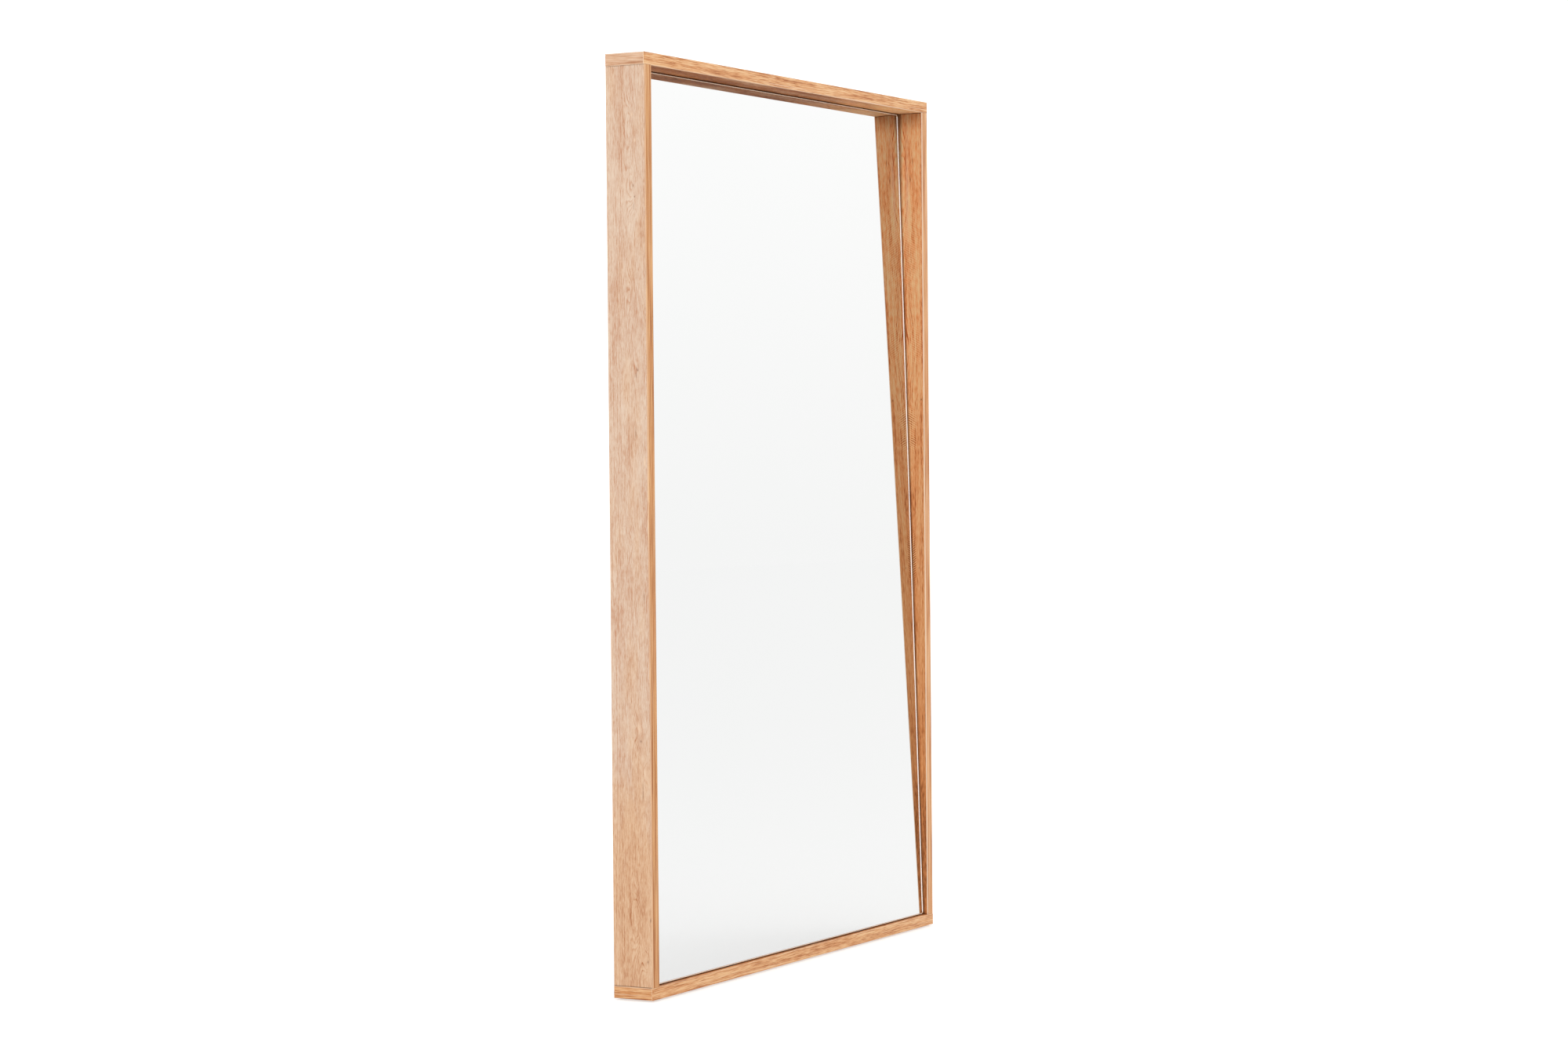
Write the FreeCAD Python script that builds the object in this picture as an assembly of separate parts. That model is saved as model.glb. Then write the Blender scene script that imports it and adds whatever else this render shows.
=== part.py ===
import FreeCAD, Part
import math
import os

# Floor mirror in a deep box frame.
# Four edge-banded boards make an upright box, and the glass leans back inside it: its foot is
# near the front of the frame and its head is near the back.
# +Z is up, the glass faces -Y, and the origin is under the middle of the frame, on the floor.

# ---- driving sizes, in millimetres ----
frame_width = 1090.0
frame_height = 1650.0             # underside of the bottom board to the top of the top board
frame_depth = 80.0
board_thickness = 22.0

front_band_thickness = 2.0
end_band_thickness = 2.0
rear_band_thickness = 1.0
band_edge_radius = 1.5            # milled along both long edges of a front or end band
rear_band_edge_radius = 0.6

glass_thickness = 4.0
glass_gap = 1.5                   # all round, between the glass and the boards
glass_corner_radius = 4.0
glass_arris = 0.7                 # ground chamfer on both faces
foot_setback = 10.0               # from the frame's front to the glass, at the bottom board
film_thickness = 0.2
film_margin = 3.0
tape_thickness = 1.0
tape_width = 25.0
tape_count = 7
tape_end_margin = 45.0
panel_thickness = 6.0
panel_gap = 1.0
setting_block_length = 60.0
setting_block_share = 0.25        # of the opening's width, from the middle to each block

batten_thickness = 10.0
batten_width = 25.0
cross_batten_height = 30.0
rear_recess = 4.8                 # left free behind the battens' heads for the tether rings

dowel_diameter = 8.0
dowel_length = 35.0
dowel_chamfer = 0.8
dowel_spacing = 22.0
dowel_depth_in_cap = 12.0         # bored into the top and bottom boards
bore_clearance = 0.1              # on the radius, and at each blind end

bracket_leg = 30.0
bracket_thickness = 2.0
bracket_hole_pitch = 12.0
bracket_end_margin = 6.0
bracket_side_clearance = 0.4
bottom_bracket_offset = 11.0      # from the middle of the frame's depth, towards the back

screw_diameter = 3.5
screw_head_diameter = 7.0
screw_point = 3.0
screw_recess_depth = 1.2
screw_recess_width = 0.9
screw_recess_span = 3.6
bracket_screw_length = 16.0
panel_screw_length = 14.0
screw_bite = 15.0                 # of a batten's screw into the board behind it
upright_screw_count = 5
cross_screw_count = 4
screw_end_margin = 60.0
cross_screw_shift = 40.0          # keeps a cross batten's own screws clear of the panel's screws

tether_spacing = 600.0
strap_width = 12.0
strap_length = 24.0
strap_thickness = 1.0
strap_drop = 4.0                  # the ring's bar hangs this far below the top batten
strap_fold_length = 8.0
strap_screw_diameter = 3.0
strap_screw_length = 10.0
strap_screw_head_diameter = 6.0
strap_screw_head_height = 1.8
ring_wire = 2.5
ring_half_width = 10.0            # to the wire's centre line
ring_corner = 3.0
ring_side = 4.0
ring_clearance = 0.1              # between the bar and the strap's loop

glide_thickness = 3.0
glide_diameter = 16.0
glide_side_inset = 30.0           # from the frame's edges to the glide's middle
glide_front_inset = 14.0
glide_edge_radius = 0.8
nail_diameter = 2.0
nail_length = 10.0
nail_head_diameter = 5.0
nail_head_thickness = 1.0
nail_head_recess = 0.8            # below the face that stands on the floor

# ---- places worked out from them ----
half_width = frame_width / 2
front = -frame_depth / 2
rear = frame_depth / 2
core_front = front + front_band_thickness
core_rear = rear - rear_band_thickness
bottom = glide_thickness
sill = bottom + board_thickness                     # top face of the bottom board
top = bottom + frame_height
head = top - board_thickness                        # underside of the top board
half_opening = half_width - board_thickness
opening_height = head - sill

film_front = glass_thickness                        # layers behind the glass's front face
tape_front = film_front + film_thickness
panel_front = tape_front + tape_thickness
batten_front = panel_front + panel_thickness
batten_rear = batten_front + batten_thickness
head_setback = frame_depth - rear_recess - batten_rear
lean = math.atan2(head_setback - foot_setback, opening_height)
slope_length = opening_height / math.cos(lean)      # the opening's height, along the glass

screw_head_height = (screw_head_diameter - screw_diameter) / 2
bracket_width = batten_thickness + rear_recess - 2 * bracket_side_clearance
bracket_room = bracket_leg + board_thickness / 4    # left free in a top corner

X, Y, Z = FreeCAD.Vector(1, 0, 0), FreeCAD.Vector(0, 1, 0), FreeCAD.Vector(0, 0, 1)


# ---- helpers ----
def box(x0, x1, y0, y1, z0, z1):
    """An upright block between two corners."""
    return Part.makeBox(x1 - x0, y1 - y0, z1 - z0, FreeCAD.Vector(x0, y0, z0))


def leaned(shape):
    """A piece drawn upright behind the glass's front face, turned to the glass's lean.

    Before the turn, y counts backwards from the glass's front and z up from the sill.
    """
    foot = FreeCAD.Vector(0, front + foot_setback, sill)
    turn = FreeCAD.Placement(foot, FreeCAD.Rotation(X, -math.degrees(lean)))
    turned = shape.copy()
    turned.Placement = turn.multiply(shape.Placement)
    return turned


def placed(shape, point, direction):
    """A piece drawn along +Z from the origin, moved to point and turned along direction."""
    moved = shape.copy()
    moved.Placement = FreeCAD.Placement(FreeCAD.Vector(*point), FreeCAD.Rotation(Z, direction))
    return moved


def turned_profile(points):
    """A solid of revolution about Z from (radius, height) points."""
    corners = [FreeCAD.Vector(r, 0, z) for r, z in points]
    face = Part.Face(Part.makePolygon(corners + corners[:1]))
    return face.revolve(FreeCAD.Vector(0, 0, 0), Z, 360)


def edges_where(shape, test):
    """The edges whose two ends and middle all pass the test."""
    found = []
    for edge in shape.Edges:
        ends = [vertex.Point for vertex in edge.Vertexes]
        middle = edge.valueAt((edge.FirstParameter + edge.LastParameter) / 2)
        if all(test(point) for point in ends + [middle]):
            found.append(edge)
    return found


def near(a, b):
    return abs(a - b) < 1e-6


def spread(count, low, high):
    """count places, evenly spaced from low to high."""
    return [low + (high - low) * i / (count - 1) for i in range(count)]


# ---- fasteners, drawn from the origin along +Z, the way they are driven ----
def countersunk_screw(length):
    head_r, shank_r = screw_head_diameter / 2, screw_diameter / 2
    body = turned_profile([
        (0, 0), (head_r, 0), (shank_r, screw_head_height),
        (shank_r, length - screw_point), (0, length),
    ])
    slot = box(-screw_recess_span / 2, screw_recess_span / 2,
               -screw_recess_width / 2, screw_recess_width / 2, 0, screw_recess_depth)
    cross_slot = slot.copy()
    cross_slot.rotate(FreeCAD.Vector(0, 0, 0), Z, 90)
    return body.cut(slot.fuse(cross_slot))


def countersunk_hole(length):
    head_r = screw_head_diameter / 2 + bore_clearance
    shank_r = screw_diameter / 2 + bore_clearance
    return turned_profile([
        (0, 0), (head_r, 0), (shank_r, screw_head_height),
        (shank_r, length + bore_clearance), (0, length + bore_clearance),
    ])


def pan_screw():
    head_r, shank_r = strap_screw_head_diameter / 2, strap_screw_diameter / 2
    shoulder = strap_screw_head_height / 3
    body = turned_profile([
        (0, -strap_screw_head_height), (head_r * 0.6, -strap_screw_head_height),
        (head_r, -shoulder), (head_r, 0), (shank_r, 0),
        (shank_r, strap_screw_length - screw_point), (0, strap_screw_length),
    ])
    slot = box(-head_r * 0.5, head_r * 0.5, -screw_recess_width / 2, screw_recess_width / 2,
               -strap_screw_head_height, -shoulder)
    cross_slot = slot.copy()
    cross_slot.rotate(FreeCAD.Vector(0, 0, 0), Z, 90)
    return body.cut(slot.fuse(cross_slot))


def round_hole(diameter, start, end):
    radius = diameter / 2 + bore_clearance
    return Part.makeCylinder(radius, end - start, FreeCAD.Vector(0, 0, start))


def corner_dowel():
    radius = dowel_diameter / 2
    return turned_profile([
        (0, 0), (radius - dowel_chamfer, 0), (radius, dowel_chamfer),
        (radius, dowel_length - dowel_chamfer), (radius - dowel_chamfer, dowel_length),
        (0, dowel_length),
    ])


def glide_nail():
    head_top = nail_head_recess + nail_head_thickness
    return turned_profile([
        (0, nail_head_recess), (nail_head_diameter / 2, nail_head_recess),
        (nail_head_diameter / 2, head_top), (nail_diameter / 2, head_top),
        (nail_diameter / 2, head_top + nail_length - screw_point),
        (0, head_top + nail_length),
    ])


# ---- where the fasteners go: (point, direction) pairs ----
def dowel_places():
    """Each dowel starts in a side board and ends in the top or bottom board."""
    buried = dowel_length + bore_clearance - dowel_depth_in_cap
    places = []
    for side in (-1, 1):
        x = side * (half_width - board_thickness / 2)
        for y in (-dowel_spacing, 0, dowel_spacing):
            places.append(((x, y, head - buried), Z))
            places.append(((x, y, sill + buried), -Z))
    return places


def bracket_corners():
    """(name, side, up, y, z) of each bracket's outer corner, at the middle of its width."""
    top_y = rear - bracket_side_clearance - bracket_width / 2
    return [
        ("top_left_bracket", -1, 1, top_y, head),
        ("top_right_bracket", 1, 1, top_y, head),
        ("bottom_left_bracket", -1, -1, bottom_bracket_offset, sill),
        ("bottom_right_bracket", 1, -1, bottom_bracket_offset, sill),
    ]


def bracket_screw_places():
    """Two screws through each leg of each bracket, into the boards."""
    reaches = [bracket_leg - bracket_end_margin - i * bracket_hole_pitch for i in (0, 1)]
    places = []
    for _, side, up, y, z in bracket_corners():
        for reach in reaches:
            across = (side * (half_opening - reach), y, z - up * bracket_thickness)
            along = (side * (half_opening - bracket_thickness), y, z - up * reach)
            places.append((across, Z * up))
            places.append((along, X * side))
    return places


def upright_levels():
    """Heights of the screws along a side batten, measured up the glass."""
    last = slope_length - bracket_room - screw_end_margin
    return spread(2 * upright_screw_count - 1, screw_end_margin, last)


def cross_columns():
    """Places of the panel's screws along a top or bottom batten."""
    reach = half_opening - batten_width - screw_end_margin - cross_screw_shift
    return spread(cross_screw_count, -reach, reach)


def panel_screw_places():
    """Through the panel, before the glass goes on, into the battens. Drawn upright."""
    places = []
    for side in (-1, 1):
        for z in upright_levels()[::2]:
            places.append(((side * (half_opening - batten_width / 2), panel_front, z), Y))
    for x in cross_columns():
        for z in (panel_gap + cross_batten_height / 2,
                  slope_length - panel_gap - cross_batten_height / 2):
            places.append(((x, panel_front, z), Y))
    return places


def side_batten_screw_places():
    """Sideways through the side battens into the side boards. Drawn upright."""
    y = batten_front + batten_thickness / 2
    return [((side * (half_opening - batten_width), y, z), X * side)
            for side in (-1, 1) for z in upright_levels()[1::2]]


def cross_batten_screw_places():
    """Up through the top batten, and down through the bottom one. Drawn upright."""
    y = batten_front + batten_thickness / 2
    places = []
    for column in cross_columns():
        x = column + math.copysign(cross_screw_shift, column)
        places.append(((x, y, panel_gap + cross_batten_height), -Z))
        places.append(((x, y, slope_length - panel_gap - cross_batten_height), Z))
    return places


def strap_screw_places():
    """Through the tether straps into the top batten. Drawn upright, from the back."""
    low = slope_length - panel_gap - cross_batten_height
    margin = strap_fold_length + strap_screw_head_diameter / 2
    levels = (low - strap_drop + margin + 1.0, low - strap_drop + strap_length - margin / 2 + 1.0)
    return [((side * tether_spacing / 2, batten_rear + strap_thickness, z), -Y)
            for side in (-1, 1) for z in levels]


def glide_places():
    x, y = half_width - glide_side_inset, frame_depth / 2 - glide_front_inset
    return [((i * x, j * y, 0), Z) for i in (-1, 1) for j in (-1, 1)]


def everywhere(shape, places):
    return [placed(shape, point, direction) for point, direction in places]


# ---- the holes that every board and batten is bored with ----
side_batten_screw_length = batten_width + screw_bite
cross_batten_screw_length = cross_batten_height + screw_bite

board_holes = everywhere(round_hole(dowel_diameter, -bore_clearance, dowel_length + bore_clearance),
                         dowel_places())
board_holes += everywhere(countersunk_hole(bracket_screw_length), bracket_screw_places())
nail_reach = nail_head_recess + nail_head_thickness + nail_length + bore_clearance
board_holes += everywhere(round_hole(nail_diameter, 0, nail_reach), glide_places())

batten_holes = everywhere(countersunk_hole(panel_screw_length), panel_screw_places())
batten_holes += everywhere(countersunk_hole(side_batten_screw_length), side_batten_screw_places())
batten_holes += everywhere(countersunk_hole(cross_batten_screw_length), cross_batten_screw_places())
batten_holes += everywhere(round_hole(strap_screw_diameter, 0, strap_screw_length + bore_clearance),
                           strap_screw_places())
board_holes += [leaned(hole) for hole in batten_holes]


def bored(shape, holes):
    """The shape less the holes that reach into it."""
    reaching = [hole for hole in holes if shape.BoundBox.intersect(hole.BoundBox)]
    return shape.cut(reaching) if reaching else shape


# ---- boards ----
def cap_board(z0):
    """The top or bottom board: the full width less its end bands."""
    reach = half_width - end_band_thickness
    core = box(-reach, reach, core_front, core_rear, z0, z0 + board_thickness)
    return bored(core, board_holes)


def side_board(side):
    x0, x1 = sorted((side * half_width, side * half_opening))
    return bored(box(x0, x1, core_front, core_rear, sill, head), board_holes)


# ---- edge bands, each with its two long outer edges milled round ----
def rounded_band(band, radius, on_outer_edge):
    return band.makeFillet(radius, edges_where(band, on_outer_edge))


def level_band(z0, y_outer, y_inner, radius):
    """A band across the front or the back of the top or bottom board."""
    y0, y1 = sorted((y_outer, y_inner))
    band = box(-half_width, half_width, y0, y1, z0, z0 + board_thickness)
    long_edge = lambda p: near(p.y, y_outer) and (near(p.z, z0) or near(p.z, z0 + board_thickness))
    return rounded_band(band, radius, long_edge)


def upright_band(side, y_outer, y_inner, radius):
    """A band up the front or the back of a side board."""
    x0, x1 = sorted((side * half_width, side * half_opening))
    y0, y1 = sorted((y_outer, y_inner))
    band = box(x0, x1, y0, y1, sill, head)
    long_edge = lambda p: near(p.y, y_outer) and (near(p.x, x0) or near(p.x, x1))
    return rounded_band(band, radius, long_edge)


def end_band(side, z0):
    """A band over the end grain of the top or bottom board."""
    x_outer = side * half_width
    x0, x1 = sorted((x_outer, x_outer - side * end_band_thickness))
    band = box(x0, x1, core_front, core_rear, z0, z0 + board_thickness)
    long_edge = lambda p: near(p.x, x_outer) and (near(p.z, z0) or near(p.z, z0 + board_thickness))
    return rounded_band(band, band_edge_radius, long_edge)


# ---- the leaning stack: glass, film, tapes, panel and battens ----
def mirror_glass():
    half, low, high = half_opening - glass_gap, glass_gap, slope_length - glass_gap
    pane = box(-half, half, 0, glass_thickness, low, high)
    corners = edges_where(pane, lambda p: near(abs(p.x), half) and (near(p.z, low) or near(p.z, high)))
    pane = pane.makeFillet(glass_corner_radius, corners)
    faces = edges_where(pane, lambda p: near(p.y, 0) or near(p.y, glass_thickness))
    return leaned(pane.makeChamfer(glass_arris, faces))


def safety_film():
    inset = glass_gap + film_margin
    half = half_opening - inset
    return leaned(box(-half, half, film_front, tape_front, inset, slope_length - inset))


def mirror_tapes():
    reach = half_opening - glass_gap - tape_width
    strips = []
    for x in spread(tape_count, -reach, reach):
        strips.append(leaned(box(x - tape_width / 2, x + tape_width / 2, tape_front, panel_front,
                                 tape_end_margin, slope_length - tape_end_margin)))
    return strips


def backing_panel():
    half = half_opening - panel_gap
    panel = box(-half, half, panel_front, batten_front, panel_gap, slope_length - panel_gap)
    return leaned(bored(panel, batten_holes))


def side_batten(side):
    x0, x1 = sorted((side * half_opening, side * (half_opening - batten_width)))
    batten = box(x0, x1, batten_front, batten_rear, panel_gap, slope_length - bracket_room)
    return leaned(bored(batten, batten_holes))


def cross_batten(low, half_length):
    batten = box(-half_length, half_length, batten_front, batten_rear,
                 low, low + cross_batten_height)
    return leaned(bored(batten, batten_holes))


def setting_blocks():
    """Packers that carry the glass: flat on the sill, and leaning with the glass above."""
    glass_front = front + foot_setback
    under_glass = leaned(box(-half_opening, half_opening, -glass_thickness, 2 * glass_thickness,
                             glass_gap, 4 * glass_gap))
    blocks = []
    for side in (-1, 1):
        x = side * setting_block_share * 2 * half_opening
        block = box(x - setting_block_length / 2, x + setting_block_length / 2,
                    glass_front + glass_arris, glass_front + glass_thickness - glass_arris,
                    sill, sill + 2 * glass_gap)
        blocks.append(block.cut(under_glass))
    return blocks


# ---- steel corner brackets ----
def corner_bracket(side, up, y, z):
    x = side * half_opening
    inner_x, inner_z = x - side * bracket_thickness, z - up * bracket_thickness
    end_x, end_z = x - side * bracket_leg, z - up * bracket_leg
    outline = [(x, z), (end_x, z), (end_x, inner_z), (inner_x, inner_z), (inner_x, end_z), (x, end_z)]
    corners = [FreeCAD.Vector(px, y - bracket_width / 2, pz) for px, pz in outline]
    plate = Part.Face(Part.makePolygon(corners + corners[:1])).extrude(Y * bracket_width)
    bend = edges_where(plate, lambda p: near(p.x, inner_x) and near(p.z, inner_z))
    plate = plate.makeFillet(bracket_thickness, bend)
    return bored(plate, everywhere(countersunk_hole(bracket_screw_length), bracket_screw_places()))


# ---- tether straps and rings ----
def ring_axis():
    """The bar's place (y, z) with the strap leaned with its batten."""
    loop_radius = ring_wire / 2 + ring_clearance + strap_thickness
    low = slope_length - panel_gap - cross_batten_height - strap_drop
    bar = leaned(Part.Vertex(0, batten_rear + loop_radius, low)).Point
    return bar.y, bar.z


def tether_strap(side):
    """A plate on the top batten's back, rolled round the ring's bar below the batten."""
    x = side * tether_spacing / 2
    inner_radius = ring_wire / 2 + ring_clearance
    outer_radius = inner_radius + strap_thickness
    bar_z = slope_length - panel_gap - cross_batten_height - strap_drop
    bar_y = batten_rear + outer_radius
    left = FreeCAD.Vector(x - strap_width / 2, bar_y, bar_z)
    plate = box(left.x, left.x + strap_width, batten_rear, batten_rear + strap_thickness,
                bar_z, bar_z + strap_length)
    fold = box(left.x, left.x + strap_width, batten_rear + strap_thickness,
               batten_rear + 2 * strap_thickness, bar_z + inner_radius, bar_z + strap_fold_length)
    loop = Part.makeCylinder(outer_radius, strap_width, left, X)
    bore = Part.makeCylinder(inner_radius, strap_width, left, X)
    strap = plate.fuse([fold, loop]).cut(bore).removeSplitter()
    holes = everywhere(round_hole(strap_screw_diameter, -strap_thickness, strap_screw_length),
                       strap_screw_places())
    return leaned(bored(strap, holes))


def tether_ring(side):
    """A D of round wire that hangs straight down from its bar."""
    y, z = ring_axis()
    x = side * tether_spacing / 2
    wide, corner = ring_half_width, ring_corner
    low = -corner - ring_side

    def at(px, pz):
        return FreeCAD.Vector(x + px, y, z + pz)

    nick = corner * (1 - math.sqrt(0.5))
    path = Part.Wire([
        Part.LineSegment(at(corner - wide, 0), at(wide - corner, 0)).toShape(),
        Part.Arc(at(wide - corner, 0), at(wide - nick, -nick), at(wide, -corner)).toShape(),
        Part.LineSegment(at(wide, -corner), at(wide, low)).toShape(),
        Part.Arc(at(wide, low), at(0, low - wide), at(-wide, low)).toShape(),
        Part.LineSegment(at(-wide, low), at(-wide, -corner)).toShape(),
        Part.Arc(at(-wide, -corner), at(nick - wide, -nick), at(corner - wide, 0)).toShape(),
    ])
    section = Part.Wire(Part.makeCircle(ring_wire / 2, at(0, 0), X))
    return path.makePipeShell([section], True, False)


# ---- glides ----
def floor_glide():
    glide = Part.makeCylinder(glide_diameter / 2, glide_thickness)
    rim = edges_where(glide, lambda p: near(p.z, 0))
    glide = glide.makeFillet(glide_edge_radius, rim)
    head_top = nail_head_recess + nail_head_thickness
    glide = glide.cut(round_hole(nail_head_diameter, 0, head_top + bore_clearance))
    return glide.cut(round_hole(nail_diameter, 0, glide_thickness))


# ---- every node, and the files ----
def all_nodes():
    cap_levels = {"top": head, "bottom": bottom}
    nodes = {}
    for name, z0 in cap_levels.items():
        nodes[name + "_board"] = cap_board(z0)
        nodes[name + "_front_band"] = level_band(z0, front, core_front, band_edge_radius)
        nodes[name + "_rear_band"] = level_band(z0, rear, core_rear, rear_band_edge_radius)
    for name, side in (("left", -1), ("right", 1)):
        nodes[name + "_side_board"] = side_board(side)
        nodes[name + "_front_band"] = upright_band(side, front, core_front, band_edge_radius)
        nodes[name + "_rear_band"] = upright_band(side, rear, core_rear, rear_band_edge_radius)
        for level, z0 in cap_levels.items():
            nodes[f"{level}_{name}_end_band"] = end_band(side, z0)
        nodes[name + "_batten"] = side_batten(side)
        nodes[name + "_tether_strap"] = tether_strap(side)
        nodes[name + "_tether_ring"] = tether_ring(side)
    nodes["mirror_glass"] = mirror_glass()
    nodes["safety_film"] = safety_film()
    nodes["mirror_tapes"] = mirror_tapes()
    nodes["setting_blocks"] = setting_blocks()
    nodes["backing_panel"] = backing_panel()
    nodes["bottom_batten"] = cross_batten(panel_gap, half_opening - batten_width)
    nodes["top_batten"] = cross_batten(slope_length - panel_gap - cross_batten_height,
                                       half_opening - bracket_room)
    for name, side, up, y, z in bracket_corners():
        nodes[name] = corner_bracket(side, up, y, z)
    nodes["corner_dowels"] = everywhere(corner_dowel(), dowel_places())
    nodes["bracket_screws"] = everywhere(countersunk_screw(bracket_screw_length),
                                         bracket_screw_places())
    nodes["panel_screws"] = [leaned(screw) for screw in everywhere(
        countersunk_screw(panel_screw_length), panel_screw_places())]
    nodes["side_batten_screws"] = [leaned(screw) for screw in everywhere(
        countersunk_screw(side_batten_screw_length), side_batten_screw_places())]
    nodes["cross_batten_screws"] = [leaned(screw) for screw in everywhere(
        countersunk_screw(cross_batten_screw_length), cross_batten_screw_places())]
    nodes["strap_screws"] = [leaned(screw) for screw in everywhere(
        pan_screw(), strap_screw_places())]
    nodes["floor_glides"] = everywhere(floor_glide(), glide_places())
    nodes["glide_nails"] = everywhere(glide_nail(), glide_places())
    return nodes


os.makedirs("parts", exist_ok=True)
for node, shape in all_nodes().items():
    solids = shape if isinstance(shape, list) else [shape]
    bodies = [solid for piece in solids for solid in piece.Solids]
    whole = Part.makeCompound(bodies) if len(bodies) > 1 else bodies[0]
    whole.exportStep(f"parts/{node}.step")
    print(node, len(bodies), "valid" if whole.isValid() else "NOT VALID", round(whole.Volume, 1))
print("lean", round(math.degrees(lean), 3), "ring axis", [round(v, 3) for v in ring_axis()])
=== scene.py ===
import bmesh
import bpy
import math
from mathutils import Matrix, Vector


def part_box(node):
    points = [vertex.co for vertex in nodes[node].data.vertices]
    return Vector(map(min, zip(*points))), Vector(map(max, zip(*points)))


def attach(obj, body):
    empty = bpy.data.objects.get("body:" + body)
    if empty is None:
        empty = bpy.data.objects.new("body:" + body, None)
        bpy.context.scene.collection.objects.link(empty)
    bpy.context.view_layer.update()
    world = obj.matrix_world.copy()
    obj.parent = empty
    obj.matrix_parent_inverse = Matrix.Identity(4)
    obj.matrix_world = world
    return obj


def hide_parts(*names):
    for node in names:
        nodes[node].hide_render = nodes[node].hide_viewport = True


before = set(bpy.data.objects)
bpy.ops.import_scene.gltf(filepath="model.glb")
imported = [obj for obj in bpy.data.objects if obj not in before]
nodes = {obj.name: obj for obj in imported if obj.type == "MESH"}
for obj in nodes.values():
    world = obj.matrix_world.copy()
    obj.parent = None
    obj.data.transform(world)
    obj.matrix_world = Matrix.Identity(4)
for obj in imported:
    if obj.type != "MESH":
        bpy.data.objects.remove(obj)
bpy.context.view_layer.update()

mm = 0.001
shownIn = bpy.context.scene.collection


# small helpers for materials

def tone(red, green, blue):
    # a colour given on the usual 0 to 255 scale, as the linear colour a shader wants
    def straight(level):
        level = level / 255
        return level / 12.92 if level <= 0.04045 else ((level + 0.055) / 1.055) ** 2.4
    return (straight(red), straight(green), straight(blue), 1.0)


# detail and roughness of a noise, from the smoothest to the roughest
smooth, plainNoise, grainy, busy, harsh = (1.0, 0.5), (2.0, 0.5), (2.0, 0.6), (3.0, 0.6), (3.0, 0.65)


class Finish:
    # one material and short ways to add nodes to it

    def __init__(self, name):
        self.material = bpy.data.materials.new(name)
        self.material.use_nodes = True
        self.tree = self.material.node_tree
        self.surface = self.tree.nodes["Principled BSDF"]
        self.place = self.add("ShaderNodeTexCoord").outputs["Object"]

    def add(self, kind, **settings):
        made = self.tree.nodes.new(kind)
        for key, value in settings.items():
            setattr(made, key, value)
        return made

    def put(self, socket, value):
        if isinstance(value, bpy.types.NodeSocket):
            self.tree.links.new(value, socket)
        else:
            socket.default_value = value

    def calc(self, operation, first, second=0.0):
        made = self.add("ShaderNodeMath", operation=operation)
        self.put(made.inputs[0], first)
        self.put(made.inputs[1], second)
        return made.outputs[0]

    def times(self, first, second):
        return self.calc("MULTIPLY", first, second)

    def plus(self, first, second):
        return self.calc("ADD", first, second)

    def vector(self, operation, first, second=(0, 0, 0)):
        made = self.add("ShaderNodeVectorMath", operation=operation)
        self.put(made.inputs[0], first)
        self.put(made.inputs[1], second)
        return made.outputs["Value" if operation in ("DOT_PRODUCT", "LENGTH") else "Vector"]

    def measure(self, place, direction):
        # how far a place lies along a direction
        return self.vector("DOT_PRODUCT", place, direction)

    def step(self, value, low, high, outLow=0.0, outHigh=1.0):
        # a soft step from outLow to outHigh
        made = self.add("ShaderNodeMapRange", interpolation_type="SMOOTHSTEP")
        for key, given in zip(("Value", "From Min", "From Max", "To Min", "To Max"),
                              (value, low, high, outLow, outHigh)):
            self.put(made.inputs[key], given)
        return made.outputs["Result"]

    def noise(self, place, quality=plainNoise, distortion=0.0):
        made = self.add("ShaderNodeTexNoise")
        self.put(made.inputs["Vector"], place)
        made.inputs["Scale"].default_value = 1.0
        made.inputs["Detail"].default_value, made.inputs["Roughness"].default_value = quality
        made.inputs["Distortion"].default_value = distortion
        return made.outputs[0]

    def even(self, perMetre, quality=plainNoise, shift=(0, 0, 0)):
        # noise of the same fineness in every direction
        return self.noise(self.scaled(self.place, (perMetre,) * 3, shift), quality)

    def cells(self, place):
        made = self.add("ShaderNodeTexVoronoi", feature="F1")
        self.put(made.inputs["Vector"], place)
        made.inputs["Scale"].default_value = 1.0
        return made.outputs["Distance"]

    def scaled(self, place, sizes, shift=(0, 0, 0)):
        return self.vector("ADD", self.vector("MULTIPLY", place, sizes), shift)

    def mix(self, factor, first, second):
        made = self.add("ShaderNodeMix", data_type="RGBA")
        self.put(made.inputs[0], factor)
        self.put(made.inputs[6], first)
        self.put(made.inputs[7], second)
        return made.outputs[2]

    def ramp(self, factor, stops):
        made = self.add("ShaderNodeValToRGB")
        band = made.color_ramp
        while len(band.elements) < len(stops):
            band.elements.new(0.5)
        for element, (position, colour) in zip(band.elements, stops):
            element.position = position
            element.color = colour
        self.put(made.inputs[0], factor)
        return made.outputs[0]

    def bump(self, height, depth, strength):
        made = self.add("ShaderNodeBump")
        made.inputs["Strength"].default_value = strength
        made.inputs["Distance"].default_value = depth
        self.put(made.inputs["Height"], height)
        self.tree.links.new(made.outputs[0], self.surface.inputs["Normal"])

    def set(self, **values):
        # socket names are given with _ for a blank
        for key, value in values.items():
            self.put(self.surface.inputs[key.replace("_", " ")], value)
        return self.material


# oak decor: the printed wood of the boards and their bands

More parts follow.
